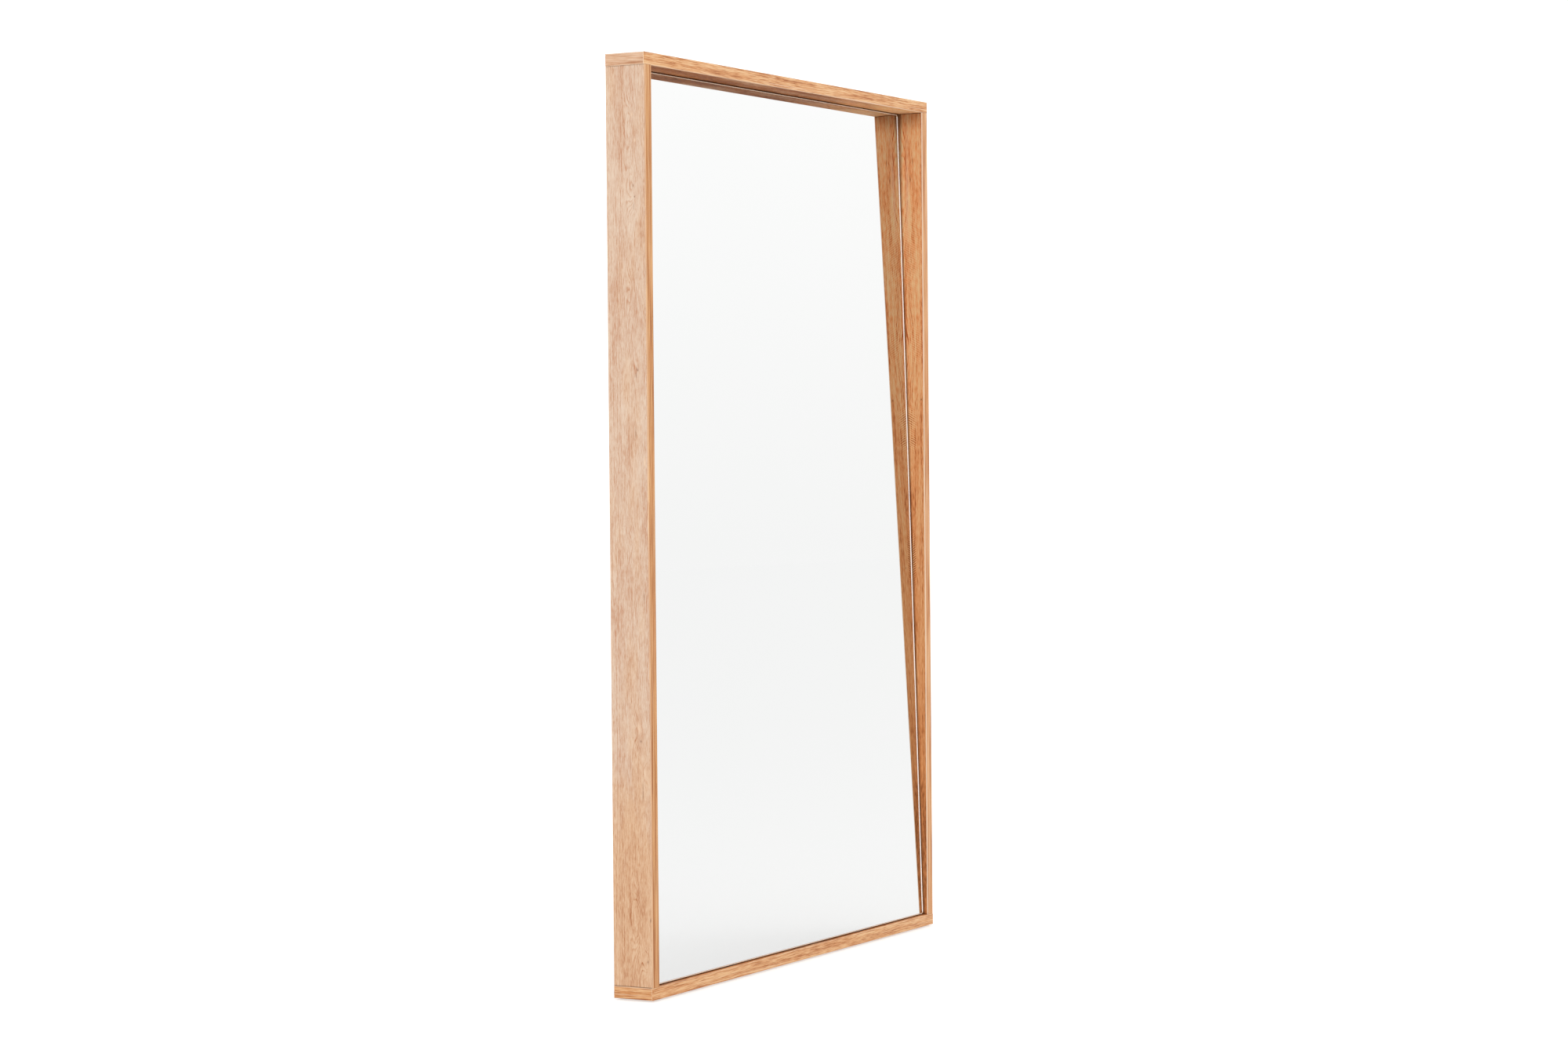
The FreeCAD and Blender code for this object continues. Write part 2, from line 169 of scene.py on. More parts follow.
# one decor in lit and shaded copies: outer tones paler with a painted sheen, inner tones with painted bounce
# light
oakPalette = {
    "outerHigh": ((242, 216, 192), (229, 194, 167), (208, 152, 118)),
    "outerLow": ((240, 202, 166), (225, 176, 137), (190, 128, 86)),
    "innerHigh": ((255, 212, 158), (254, 170, 110), (196, 98, 48)),
    "innerLow": ((242, 166, 106), (216, 135, 79), (126, 70, 36)),
    # the top board's underside, with painted shade, darkest at the left
    "underLeft": ((196, 124, 70), (158, 89, 41), (98, 54, 26)),
    "underRight": ((255, 212, 150), (255, 174, 110), (196, 112, 60)),
    "bandSide": ((236, 184, 130), (212, 146, 90), (166, 98, 50)),
    "bandEnd": ((248, 202, 152), (228, 162, 106), (176, 104, 56)),
    "bandBeige": ((242, 206, 174), (226, 178, 142), (188, 128, 90)),
    "knot": (118, 62, 32), "cream": (255, 222, 190), "shadow": (84, 48, 24),
}
oakPaint = {"share": 0.718, "roughness": 0.5, "poreRoughness": 0.2, "gloss": 0.14, "bumpStrength": 0.5}

oakPatterns = {
    # repeats per metre through, across and along the board, then the quality of the noise
    "slow": ((9, 13, 1.3), (2.0, 0.45)), "quick": ((9, 90, 14), (3.0, 0.55)),
    "frizz": ((300, 330, 75), grainy), "breaks": ((20, 70, 21), plainNoise),
    "broad": ((34, 42, 3.0), plainNoise), "hue": ((13, 26, 5), busy),
    "blotch": ((24, 30, 9), (3.0, 0.55)), "pore": ((900, 1300, 60), smooth),
    "bandSlow": ((0, 60, 5.0), (3.0, 0.5)), "bandBroad": ((0, 130, 5.0), plainNoise),
    "bandHair": ((0, 330, 3.2), smooth),
}

oakPrint = {
    # a ring's dark wood, the palest ring, where rings are broken and what is left of them there
    "lateWood": (0.4, 0.9), "palestRing": 0.15, "breaksAt": (0.35, 0.62), "brokenShare": 0.4,
    "poreAt": (0.6, 0.7), "poreDark": 0.12, "fineThrough": 700, "fineQuality": (3.0, 0.62),
    # the hatching slopes one way below these heights and the other way above
    "hatchTurn": (0.84, 0.9), "hatchSlopes": (150.0, -115.0), "hatchWobble": 0.8, "hatchDark": 0.45,
    "hueAt": (0.45, 0.7), "hueShift": (2, 4), "blotchShift": 7, "fadeWobble": 0.5,
    "markWobble": (0.0, 0.005, 0.008),
    "markDeep": 0.008, "flameDeep": 0.009, "faceBlend": 2.0, "fibreRelief": 0.6, "poreRelief": -0.8,
}

# painted shade along the glass, in the top corner and at the joints, lengths in mm
oakShade = {"nearest": 0.5, "rise": 220.0, "lineFrom": 0.6, "lineTo": 1.6, "corner": 45.0, "darkest": 0.85}

acrossGrain, alongGrain, upward = (0, 1, 0), (0, 0, 1), (0, 0, 1)


def woodTone(colour):
    # the print is a little darker than it looks, because the studio light is bright
    return tuple(part * oakPaint["share"] for part in tone(*colour)[:3]) + (1.0,)


def grainPlace(finish, along):
    # thickness, across and along the grain, in metres, for a board or band that runs along X, Y or Z
    parts = finish.add("ShaderNodeSeparateXYZ")
    finish.put(parts.inputs[0], finish.place)
    order = {"z": "XYZ", "x": "ZYX", "bandZ": "YXZ", "bandX": "YZX", "bandY": "XZY"}[along]
    made = finish.add("ShaderNodeCombineXYZ")
    for socket, axis in zip(made.inputs, order):
        finish.put(socket, parts.outputs[axis])
    return made.outputs[0]


def pattern(finish, place, key, shift):
    sizes, quality = oakPatterns[key]
    return finish.noise(finish.scaled(place, sizes, shift), quality)


def spot(finish, place, centre, size):
    # 1 at the centre, fading to 0 at about twice the size
    away = finish.vector("DIVIDE", finish.vector("SUBTRACT", place, centre), size)
    square = finish.vector("DOT_PRODUCT", away, away)
    return finish.calc("EXPONENT", finish.times(square, -1.0))


def spots(finish, place, listed):
    total = 0.0
    for centre, size, strength in listed:
        total = finish.plus(finish.times(spot(finish, place, centre, size), strength), total)
    return total


def centred(finish, value, gain):
    # noise turned into a swing round zero
    return finish.times(finish.calc("SUBTRACT", value, 0.5), gain)


def shades(finish, dark, kind):
    pale, mid, deep = (woodTone(colour) for colour in oakPalette[kind])
    return finish.ramp(dark, ((0.0, pale), (0.5, mid), (1.0, deep)))


def slopeOf(node):
    # matrix whose columns are right, up the slope and out of the front, and the slab's size in it
    widest = max(nodes[node].data.polygons, key=lambda face: face.area)
    out = widest.normal.copy()
    if out.y > 0:
        out.negate()
    right = Vector((1, 0, 0))
    turn = Matrix((right, out.cross(right), out)).transposed()
    places = [turn.transposed() @ corner.co for corner in nodes[node].data.vertices]
    low = Vector([min(place[axis] for place in places) for axis in range(3)])
    high = Vector([max(place[axis] for place in places) for axis in range(3)])
    return turn, low, high


paneTurn, paneLow, paneHigh = slopeOf("mirror_glass")
paneOut = paneTurn.col[2]
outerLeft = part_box("left_side_board")[0].x
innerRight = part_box("right_side_board")[0].x
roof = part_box("top_board")[0].z
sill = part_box("bottom_board")[1].z
boardHalf = (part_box("left_side_board")[1].x - outerLeft) / 2
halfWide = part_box("top_board")[1].x


def growthRings(finish, place, frizz, look):
    # even lines across the board, bent into flames by slow noise and by the listed eyes
    seed = look["seed"]
    slow = pattern(finish, place, "slow", (seed, 0, seed))
    quick = pattern(finish, place, "quick", (0, seed, 0))
    bend = finish.plus(finish.times(slow, look["curl"]), finish.times(quick, look["ripple"]))
    bend = finish.plus(bend, finish.times(frizz, look["frizz"]))
    across = finish.measure(place, (0, look["ringsPerMetre"], 0))
    rings = finish.plus(finish.plus(across, bend), spots(finish, place, look["eyes"]))
    inRing = finish.calc("FRACT", rings)
    whichRing = finish.add("ShaderNodeTexWhiteNoise", noise_dimensions="1D")
    finish.put(whichRing.inputs["W"], finish.calc("FLOOR", rings))
    start, stop = oakPrint["lateWood"]
    late = finish.times(finish.step(inRing, start, stop), finish.step(inRing, stop, 1.0, 1.0, 0.0))
    late = finish.times(late, finish.step(whichRing.outputs[0], 0.0, 1.0, oakPrint["palestRing"], 1.0))
    breaks = pattern(finish, place, "breaks", (seed, seed, 0))
    return finish.times(late, finish.step(breaks, *oakPrint["breaksAt"], oakPrint["brokenShare"]))


def hatching(finish, place, frizz, look):
    # fine ripples across curly grain, only where the look lists them
    slope = finish.step(finish.measure(place, alongGrain), *oakPrint["hatchTurn"], *oakPrint["hatchSlopes"])
    slant = finish.times(finish.measure(place, acrossGrain), slope)
    lines = finish.plus(finish.measure(place, (0, 0, look["hatchesPerMetre"])), slant)
    lines = finish.plus(lines, centred(finish, frizz, oakPrint["hatchWobble"]))
    wave = finish.calc("SINE", finish.times(lines, math.tau))
    return finish.times(wave, spots(finish, place, look["hatches"]))


def boardTones(finish, place, dark, blotch, inner, look):
    # outer and inner face of one decor, each changing tone along the board, with warmer clouds over both
    level = finish.plus(finish.measure(place, alongGrain), centred(finish, blotch, oakPrint["fadeWobble"]))
    fade = finish.step(level, *look["toneChange"])
    outerFace, innerFace = (finish.mix(fade, shades(finish, dark, low), shades(finish, dark, high))
                            for low, high in (look["outerTones"], look["innerTones"]))
    # the outer and inner tones differ by a painted sheen outside and painted bounce light and shade inside
    seen = finish.mix(inner, outerFace, innerFace)
    through, along = oakPrint["hueShift"]
    hue = pattern(finish, place, "hue", (through, look["seed"], along))
    hue = finish.step(hue, *oakPrint["hueAt"], 0.0, look["warmth"])
    return finish.mix(hue, seen, shades(finish, dark, "outerLow"))


def printedMarks(finish, place, fine, seen, look):
    # listed cream specks, knots and short cracks, with uneven outlines
    wobble = finish.vector("SUBTRACT", fine.node.outputs[1], (0.5, 0.5, 0.5))
    wobble = finish.vector("ADD", place, finish.vector("MULTIPLY", wobble, oakPrint["markWobble"]))
    for kind, colour in (("creams", "cream"), ("knots", "knot")):
        share = finish.calc("MINIMUM", spots(finish, wobble, look[kind]), 1.0)
        seen = finish.mix(share, seen, woodTone(oakPalette[colour]))
    return seen


def paintedGlassAndJointShade(finish, place, inner, look):
    # painted shade: the print is darkened along the mirror's face, in the top inner corner and at the
    # board's joints
    ahead = finish.calc("SUBTRACT", finish.measure(finish.place, paneOut), paneHigh.z)
    width = finish.step(finish.measure(finish.place, upward), roof - oakShade["rise"] * mm, roof,
                        look["shadeWidth"][0] * mm, look["shadeWidth"][1] * mm)
    near = finish.step(finish.calc("ABSOLUTE", ahead), oakShade["nearest"] * mm, width, look["shade"], 0.0)
    run = finish.measure(place, alongGrain)
    start, stop = look["ends"]
    lineFrom, lineTo = oakShade["lineFrom"] * mm, oakShade["lineTo"] * mm
    first = finish.step(run, start + lineFrom, start + lineTo, look["jointShadeLines"][0], 0.0)
    last = finish.step(run, stop - lineTo, stop - lineFrom, 0.0, look["jointShadeLines"][1])
    corner = finish.step(run, stop - oakShade["corner"] * mm, stop, 0.0, look["cornerShade"])
    within = finish.plus(finish.times(near, inner), finish.times(corner, inner))
    return finish.calc("MINIMUM", finish.plus(within, finish.plus(first, last)), oakShade["darkest"])


def oakBoard(name, look):
    finish = Finish(name)
    place = grainPlace(finish, look["along"])
    seed = look["seed"]

    # how dark the print is: rings, short fibres, blotches, pores and hatching
    frizz = pattern(finish, place, "frizz", (0, 0, seed))
    fineness = (oakPrint["fineThrough"], look["fineAcross"], look["fineAlong"])
    fine = finish.noise(finish.scaled(place, fineness, (0, seed, 0)), oakPrint["fineQuality"])
    middle = finish.noise(finish.scaled(place, look["middleTo"], (seed, 0, 0)))
    broad = pattern(finish, place, "broad", (0, 0, seed))
    blotch = pattern(finish, place, "blotch", (0, seed, oakPrint["blotchShift"]))
    pore = finish.step(pattern(finish, place, "pore", (0, 0, seed)), *oakPrint["poreAt"])
    rings = finish.times(growthRings(finish, place, frizz, look), look["ringDark"])
    hatch = finish.times(hatching(finish, place, frizz, look), oakPrint["hatchDark"])
    dark = finish.plus(rings, look["depth"])
    for swing in (centred(finish, fine, look["fine"]), centred(finish, middle, look["middle"]),
                  centred(finish, broad, look["broad"]), centred(finish, blotch, look["blotch"]),
                  finish.times(pore, oakPrint["poreDark"]), hatch):
        dark = finish.plus(dark, swing)

    # 1 on the board's inner half, 0 on its outer half
    inner = finish.measure(place, (look["inward"], 0, 0))
    inner = finish.calc("SUBTRACT", inner, look["middlePlane"] * look["inward"])
    inner = finish.step(inner, -oakPrint["faceBlend"] * mm, oakPrint["faceBlend"] * mm)
    seen = boardTones(finish, place, dark, blotch, inner, look)
    seen = printedMarks(finish, place, fine, seen, look)
    # painted shade along the mirror's face, in the top corner and at the joints
    seen = finish.mix(paintedGlassAndJointShade(finish, place, inner, look), seen, woodTone(oakPalette["shadow"]))

    relief = finish.plus(finish.times(fine, oakPrint["fibreRelief"]),
                         finish.times(pore, oakPrint["poreRelief"]))
    finish.bump(relief, look["relief"] * mm, oakPaint["bumpStrength"])
    roughness = finish.plus(oakPaint["roughness"], finish.times(pore, oakPaint["poreRoughness"]))
    return finish.set(Base_Color=seen, Roughness=roughness, Specular_IOR_Level=look["gloss"])


def marks(listed, strength, at):
    # height, place across, length and width of each, all in metres
    return [((at, y, z), (oakPrint["markDeep"], width, length), strength) for z, y, length, width in listed]


def flames(listed, at):
    # the same with a strength each: how many rings it bends, or how dark its hatching is
    return [((at, y, z), (oakPrint["flameDeep"], width, length), strength)
            for z, y, length, width, strength in listed]


sideLook = {
    "along": "z", "ringsPerMetre": 300.0, "curl": 11.0, "ripple": 1.1, "frizz": 0.25, "ringDark": 0.62,
    "depth": 0.34, "fineAcross": 520.0, "fineAlong": 75.0, "fine": 2.0, "middleTo": (160, 260, 9),
    "middle": 0.5, "broad": 0.7, "blotch": 1.0, "warmth": 0.5, "relief": 0.06, "gloss": 0.12,
    "hatches": [], "hatchesPerMetre": 215.0, "outerTones": ("outerLow", "outerHigh"),
    "innerTones": ("innerLow", "innerHigh"), "toneChange": (0.22, 0.52), "ends": (sill, roof),
    # the next line sets the painted shade at the joints, in the top corner and along the glass
    "jointShadeLines": (0.6, 0.3), "cornerShade": 0.0, "shade": 0.7, "shadeWidth": (5.0, 12.0),
}
leftLook = dict(
    sideLook, seed=3.7, inward=1.0, middlePlane=outerLeft + boardHalf, ringsPerMetre=380.0, curl=13.0,
    fineAcross=620.0, fineAlong=95.0, fine=2.1, middle=0.35, broad=0.5, ringDark=0.7, depth=0.31,
    eyes=flames(((1.52, -0.010, 0.05, 0.011, 7.0), (1.42, -0.014, 0.045, 0.014, 9.0),
                 (1.23, -0.008, 0.04, 0.009, 5.0), (1.10, -0.020, 0.03, 0.007, 4.0),
                 (0.942, -0.032, 0.018, 0.005, 3.0), (0.795, -0.008, 0.04, 0.010, 4.5),
                 (0.47, -0.014, 0.035, 0.010, 5.0), (0.40, -0.024, 0.03, 0.008, -4.0),
                 (0.145, -0.012, 0.06, 0.014, 9.0), (0.07, -0.030, 0.03, 0.009, 8.0)), outerLeft),
    creams=marks(((1.545, -0.012, 0.004, 0.002), (1.50, -0.018, 0.003, 0.002),
                  (0.942, -0.033, 0.008, 0.002), (0.478, -0.016, 0.008, 0.003),
                  (0.40, -0.028, 0.010, 0.0015)), 0.7, outerLeft),
    knots=marks(((1.422, -0.014, 0.003, 0.0009), (1.403, -0.017, 0.002, 0.0010),
                 (1.386, -0.015, 0.005, 0.0008), (1.102, -0.020, 0.0025, 0.0018),
                 (1.092, -0.017, 0.004, 0.0007), (0.992, -0.015, 0.007, 0.0008),
                 (0.706, -0.029, 0.008, 0.0008), (0.455, -0.020, 0.002, 0.0018),
                 (0.366, -0.023, 0.014, 0.0009), (0.07, -0.030, 0.003, 0.0016),
                 (0.144, -0.036, 0.003, 0.0010)), 0.6, outerLeft),
)
rightLook = dict(
    sideLook, seed=8.1, inward=-1.0, middlePlane=innerRight + boardHalf, curl=9.0, toneChange=(0.0, 1.7),
    warmth=0.0, jointShadeLines=(0.85, 0.85), cornerShade=0.4, fine=1.7, fineAlong=70.0, middle=1.5,
    middleTo=(120, 170, 6), ringDark=0.7, depth=0.32, gloss=0.04,
    eyes=flames(((1.48, -0.006, 0.13, 0.016, 8.0), (1.16, -0.010, 0.06, 0.014, 3.0),
                 (0.51, -0.012, 0.06, 0.012, 4.0), (0.22, -0.020, 0.08, 0.012, 4.0)), innerRight),
    hatches=flames(((1.36, -0.012, 0.08, 0.022, 0.35), (1.17, -0.022, 0.03, 0.014, 0.5),
                    (1.016, -0.010, 0.018, 0.009, 1.7), (0.973, -0.013, 0.012, 0.007, 1.6),
                    (0.740, -0.0140, 0.034, 0.0045, 2.4)), innerRight),
    creams=marks(((1.48, -0.006, 0.08, 0.003),), 0.3, innerRight),
    knots=marks(((1.535, -0.018, 0.005, 0.0008), (1.50, -0.012, 0.006, 0.0008),
                 (1.058, -0.034, 0.002, 0.0015), (0.72, -0.026, 0.002, 0.0010)), 0.7, innerRight),
)
topLook = dict(
    sideLook, along="x", seed=5.3, inward=-1.0, middlePlane=roof + boardHalf, toneChange=(0.12, 0.46),
    outerTones=("outerHigh", "outerLow"), innerTones=("underLeft", "underRight"),
    ends=(-halfWide, halfWide), jointShadeLines=(0.0, 0.0), shadeWidth=(3.5, 3.5), depth=0.3, gloss=0.02,
    eyes=flames(((-0.30, -0.010, 0.07, 0.010, 4.0), (0.05, 0.0, 0.07, 0.010, 4.0),
                 (0.34, -0.020, 0.07, 0.010, 4.0)), roof), creams=[], knots=[],
)
bottomLook = dict(
    topLook, seed=6.9, inward=1.0, middlePlane=sill - boardHalf, innerTones=("innerLow", "innerLow"),
    eyes=flames(((0.1, 0.0, 0.08, 0.010, 5.0),), sill),
)

boardFinish = {
    "left_side_board": oakBoard("oakLeftBoard", leftLook),
    "right_side_board": oakBoard("oakRightBoard", rightLook),
    "top_board": oakBoard("oakTopBoard", topLook),
    "bottom_board": oakBoard("oakBottomBoard", bottomLook),
}

# what all bands share, lengths in mm
bandPrint = {
    "streakAt": (0.25, 0.95), "fibreAcross": 420, "broad": 1.6, "hairAt": (0.6, 0.68), "hairShift": 3,
    "milledFrom": 1.0, "milledTo": 1.6, "endTo": 2.0, "roughness": 0.36, "fibreRoughness": 0.16,
    "relief": 0.04,
}


def edgeBand(name, node, along, look):
    # thin wood-look band with a cream line on each milled edge, partly the paler milled edge and partly a
    # painted highlight
    finish = Finish(name)
    place = grainPlace(finish, along)
    seed = look["seed"]
    low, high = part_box(node)
    wide = (low.x, high.x) if along == "bandZ" else (low.z, high.z)
    rings = finish.plus(finish.measure(place, (0, look["linesPerMetre"], 0)),
                        finish.times(pattern(finish, place, "bandSlow", (seed, 0, seed)), look["curl"]))
    streak = finish.step(finish.calc("FRACT", rings), *bandPrint["streakAt"])
    fineness = (0, bandPrint["fibreAcross"], look["shortness"])
    fibre = finish.noise(finish.scaled(place, fineness, (seed, 0, 0)), busy)
    broad = pattern(finish, place, "bandBroad", (0, seed, 0))
    dark = finish.plus(centred(finish, streak, look["streak"]), centred(finish, fibre, look["fibre"]))
    dark = finish.plus(finish.plus(dark, centred(finish, broad, bandPrint["broad"])), look["depth"])
    cream = woodTone(oakPalette["cream"])
    hair = pattern(finish, place, "bandHair", (seed, bandPrint["hairShift"], 0))
    hair = finish.step(hair, *bandPrint["hairAt"], 0.0, look["creamLines"])
    seen = finish.mix(hair, shades(finish, dark, look["tone"]), cream)
    # cream on the milled edges and at the band's end: partly the paler milled edge, partly a painted
    # highlight
    milledFrom, milledTo, endTo = (bandPrint[key] * mm for key in ("milledFrom", "milledTo", "endTo"))
    off = finish.measure(place, acrossGrain)
    first = finish.step(off, wide[0] + milledFrom, wide[0] + milledTo, look["milled"][0], 0.0)
    last = finish.step(off, wide[1] - milledTo, wide[1] - milledFrom, 0.0, look["milled"][1])
    run = finish.measure(place, alongGrain)
    end = finish.step(run, look["endAt"] + milledFrom, look["endAt"] + endTo, look["endCream"], 0.0)
    seen = finish.mix(finish.calc("MAXIMUM", finish.calc("MAXIMUM", first, last), end), seen, cream)
    finish.bump(fibre, bandPrint["relief"] * mm, oakPaint["bumpStrength"])
    roughness = finish.plus(bandPrint["roughness"], finish.times(fibre, bandPrint["fibreRoughness"]))
    return finish.set(Base_Color=seen, Roughness=roughness, Specular_IOR_Level=oakPaint["gloss"])


bandLook = {
    "curl": 5.0, "depth": 0.45, "tone": "bandEnd", "creamLines": 0.5, "milled": (0.6, 0.3),
    "linesPerMetre": 330.0, "streak": 0.45, "fibre": 2.1, "shortness": 32.0, "endAt": -1.0, "endCream": 0.0,
}
frontLook = {
    "left": {"tone": "bandSide", "milled": (0.45, 0.1), "creamLines": 0.2, "shortness": 9.0, "depth": 0.52},
    "right": {"tone": "bandEnd", "milled": (1.0, 0.2), "creamLines": 0.3, "shortness": 9.0, "depth": 0.6},
    "top": {"milled": (0.45, 0.2)},
    "bottom": {"milled": (0.1, 0.2), "creamLines": 0.15},
}
rearLook = {"streak": 0.35, "fibre": 1.5, "creamLines": 0.1, "shortness": 14.0}
endLook = {
    "top": {"tone": "bandBeige", "milled": (0.9, 0.2), "endCream": 0.8, "creamLines": 0.9},
    "bottom": {"tone": "bandEnd", "milled": (0.1, 0.7), "endCream": 0.4, "creamLines": 0.4, "depth": 0.58},
}
bandSeeds = {"front": 1.0, "sideStep": 2.3, "rearStep": 0.9, "ends": 12.0}
bandFinish = {}
for index, side in enumerate(("left", "right", "top", "bottom")):
    along = "bandX" if side in ("top", "bottom") else "bandZ"
    seed = bandSeeds["front"] + bandSeeds["sideStep"] * index
    front = dict(bandLook, seed=seed)
    front.update(frontLook[side])
    rear = dict(front, **rearLook)
    rear["seed"] = seed + bandSeeds["rearStep"]
    for where, look in (("front", front), ("rear", rear)):
        node = f"{side}_{where}_band"
        bandFinish[node] = edgeBand(f"band_{side}_{where}", node, along, look)
for index, node in enumerate(sorted(name for name in nodes if name.endswith("_end_band"))):
    look = dict(bandLook, seed=bandSeeds["ends"] + index, shortness=30.0, endAt=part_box(node)[0].y)
    look.update(endLook["top" if node.startswith("top") else "bottom"])
    bandFinish[node] = edgeBand(node + "_finish", node, "bandY", look)
print("wood finishes made")


# the plainer finishes

pineLook = {
    "pale": (222, 192, 142), "late": (184, 126, 72), "fibre": (196, 154, 102), "knot": (120, 70, 36),
    # the pith's place from the batten's middle, and repeats per metre through, across and along it
    "pith": (0.035, 0.055, 0.0), "ringsPerMetre": 330.0, "curl": 7.0, "slowTo": (14, 14, 1.6),
    "fibreTo": (1500, 1500, 34), "patchTo": (30, 30, 5), "knotTo": (26, 26, 3.2),
    "lateWood": (0.3, 0.9), "lateEnd": 0.92, "lateShare": 0.6, "fibreAt": (0.3, 0.75), "fibreShare": 0.7,
    "patchAt": (0.5, 0.8), "patchShare": 0.35, "knotAt": (0.03, 0.075), "knotShare": 0.75,
    "relief": 0.05, "bumpStrength": 0.4, "ringRelief": 0.4, "roughness": 0.5, "fibreRoughness": 0.2,
    "gloss": 0.3, "seeds": 17,
}


def pineFinish(node, along):
    # sawn from beside the pith, so the rings show as arcs on the ends and long flames on the faces
    look = pineLook
    finish = Finish(node + "_pine")
    low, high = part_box(node)
    finish.place = finish.vector("SUBTRACT", finish.place, (low + high) / 2)
    place = grainPlace(finish, along)
    seed = sum(ord(letter) for letter in node) % look["seeds"]
    slow = finish.noise(finish.scaled(place, look["slowTo"], (seed, 0, 0)))
    across = finish.vector("MULTIPLY", finish.vector("ADD", place, look["pith"]), (1, 1, 0))
    rings = finish.plus(finish.times(finish.vector("LENGTH", across), look["ringsPerMetre"]),
                        finish.times(slow, look["curl"]))
    inRing = finish.calc("FRACT", rings)
    late = finish.times(finish.step(inRing, *look["lateWood"]),
                        finish.step(inRing, look["lateEnd"], 1.0, 1.0, 0.0))
    fibre = finish.noise(finish.scaled(place, look["fibreTo"], (0, seed, 0)), harsh)
    patch = finish.noise(finish.scaled(place, look["patchTo"], (0, 0, seed)))
    knot = finish.cells(finish.scaled(place, look["knotTo"], (seed, 0, 0)))
    seen = finish.mix(finish.times(late, look["lateShare"]), tone(*look["pale"]), tone(*look["late"]))
    for share, colour in ((finish.step(fibre, *look["fibreAt"], 0.0, look["fibreShare"]), "fibre"),
                          (finish.step(patch, *look["patchAt"], 0.0, look["patchShare"]), "fibre"),
                          (finish.step(knot, *look["knotAt"], look["knotShare"], 0.0), "knot")):
        seen = finish.mix(share, seen, tone(*look[colour]))
    relief = finish.plus(finish.times(late, look["ringRelief"]), fibre)
    finish.bump(relief, look["relief"] * mm, look["bumpStrength"])
    roughness = finish.plus(look["roughness"], finish.times(fibre, look["fibreRoughness"]))
    return finish.set(Base_Color=seen, Roughness=roughness, Specular_IOR_Level=look["gloss"])


beechLook = {
    "wood": (222, 184, 146), "fibre": (196, 150, 110), "fleck": (150, 98, 62), "fibresPerMetre": 1200,
    "flecksPerMetre": 500, "fleckShift": (3, 1, 2), "fleckAt": (0.56, 0.64), "fleckShare": 0.5,
    "relief": 0.05, "bumpStrength": 0.4, "roughness": 0.6, "gloss": 0.3,
}


def beechFinish():
    look = beechLook
    finish = Finish("beechDowel")
    fibre = finish.even(look["fibresPerMetre"], busy)
    fleck = finish.even(look["flecksPerMetre"], smooth, look["fleckShift"])
    fleck = finish.step(fleck, *look["fleckAt"])
    seen = finish.mix(fibre, tone(*look["wood"]), tone(*look["fibre"]))
    seen = finish.mix(finish.times(fleck, look["fleckShare"]), seen, tone(*look["fleck"]))
    finish.bump(fibre, look["relief"] * mm, look["bumpStrength"])
    return finish.set(Base_Color=seen, Roughness=look["roughness"], Specular_IOR_Level=look["gloss"])


fibreboardLook = {
    "base": (166, 164, 158), "fleck": (142, 139, 132), "fibre": (186, 184, 178), "cloudsPerMetre": 9,
    "finePerMetre": 420, "hairTo": (260, 500, 1100), "hairCurl": 1.5, "hairAt": (0.55, 0.63),
    "fineShare": 0.4, "hairShare": 0.2, "relief": 0.06, "bumpStrength": 0.5, "roughness": 0.62,
    "fineRoughness": 0.15,
}


def fibreboardFinish():
    look = fibreboardLook
    finish = Finish("greyBackedFibreboard")
    cloud = finish.even(look["cloudsPerMetre"], busy)
    fine = finish.even(look["finePerMetre"], harsh)
    hair = finish.noise(finish.scaled(finish.place, look["hairTo"]), plainNoise, look["hairCurl"])
    hair = finish.step(hair, *look["hairAt"])
    seen = finish.mix(cloud, tone(*look["base"]), tone(*look["fleck"]))
    seen = finish.mix(finish.times(fine, look["fineShare"]), seen, tone(*look["fibre"]))
    seen = finish.mix(finish.times(hair, look["hairShare"]), seen, tone(*look["fibre"]))
    finish.bump(fine, look["relief"] * mm, look["bumpStrength"])
    roughness = finish.plus(look["roughness"], finish.times(fine, look["fineRoughness"]))
    return finish.set(Base_Color=seen, Roughness=roughness)


metalLook = {
    "cloudsPerMetre": 160, "finePerMetre": 1900, "brushedTo": (4000, 900, 500), "cloudAt": (0.3, 0.7),
    "relief": 0.02, "bumpStrength": 0.35, "brushedRoughness": 0.2,
    "zincPlated": {"tones": ((196, 200, 206), (176, 182, 192)), "roughness": 0.26},
    "yellowZinc": {"tones": ((214, 186, 112), (196, 176, 128)), "roughness": 0.24},
}


def metalFinish(name):
    look = metalLook
    base, other = look[name]["tones"]
    finish = Finish(name)
    cloud = finish.even(look["cloudsPerMetre"], busy)
    fine = finish.even(look["finePerMetre"], grainy)
    brushed = finish.noise(finish.scaled(finish.place, look["brushedTo"]), grainy)
    seen = finish.mix(finish.step(cloud, *look["cloudAt"]), tone(*base), tone(*other))
    finish.bump(finish.plus(fine, brushed), look["relief"] * mm, look["bumpStrength"])
    roughness = finish.plus(look[name]["roughness"], finish.times(brushed, look["brushedRoughness"]))
    return finish.set(Base_Color=seen, Metallic=1.0, Roughness=roughness)


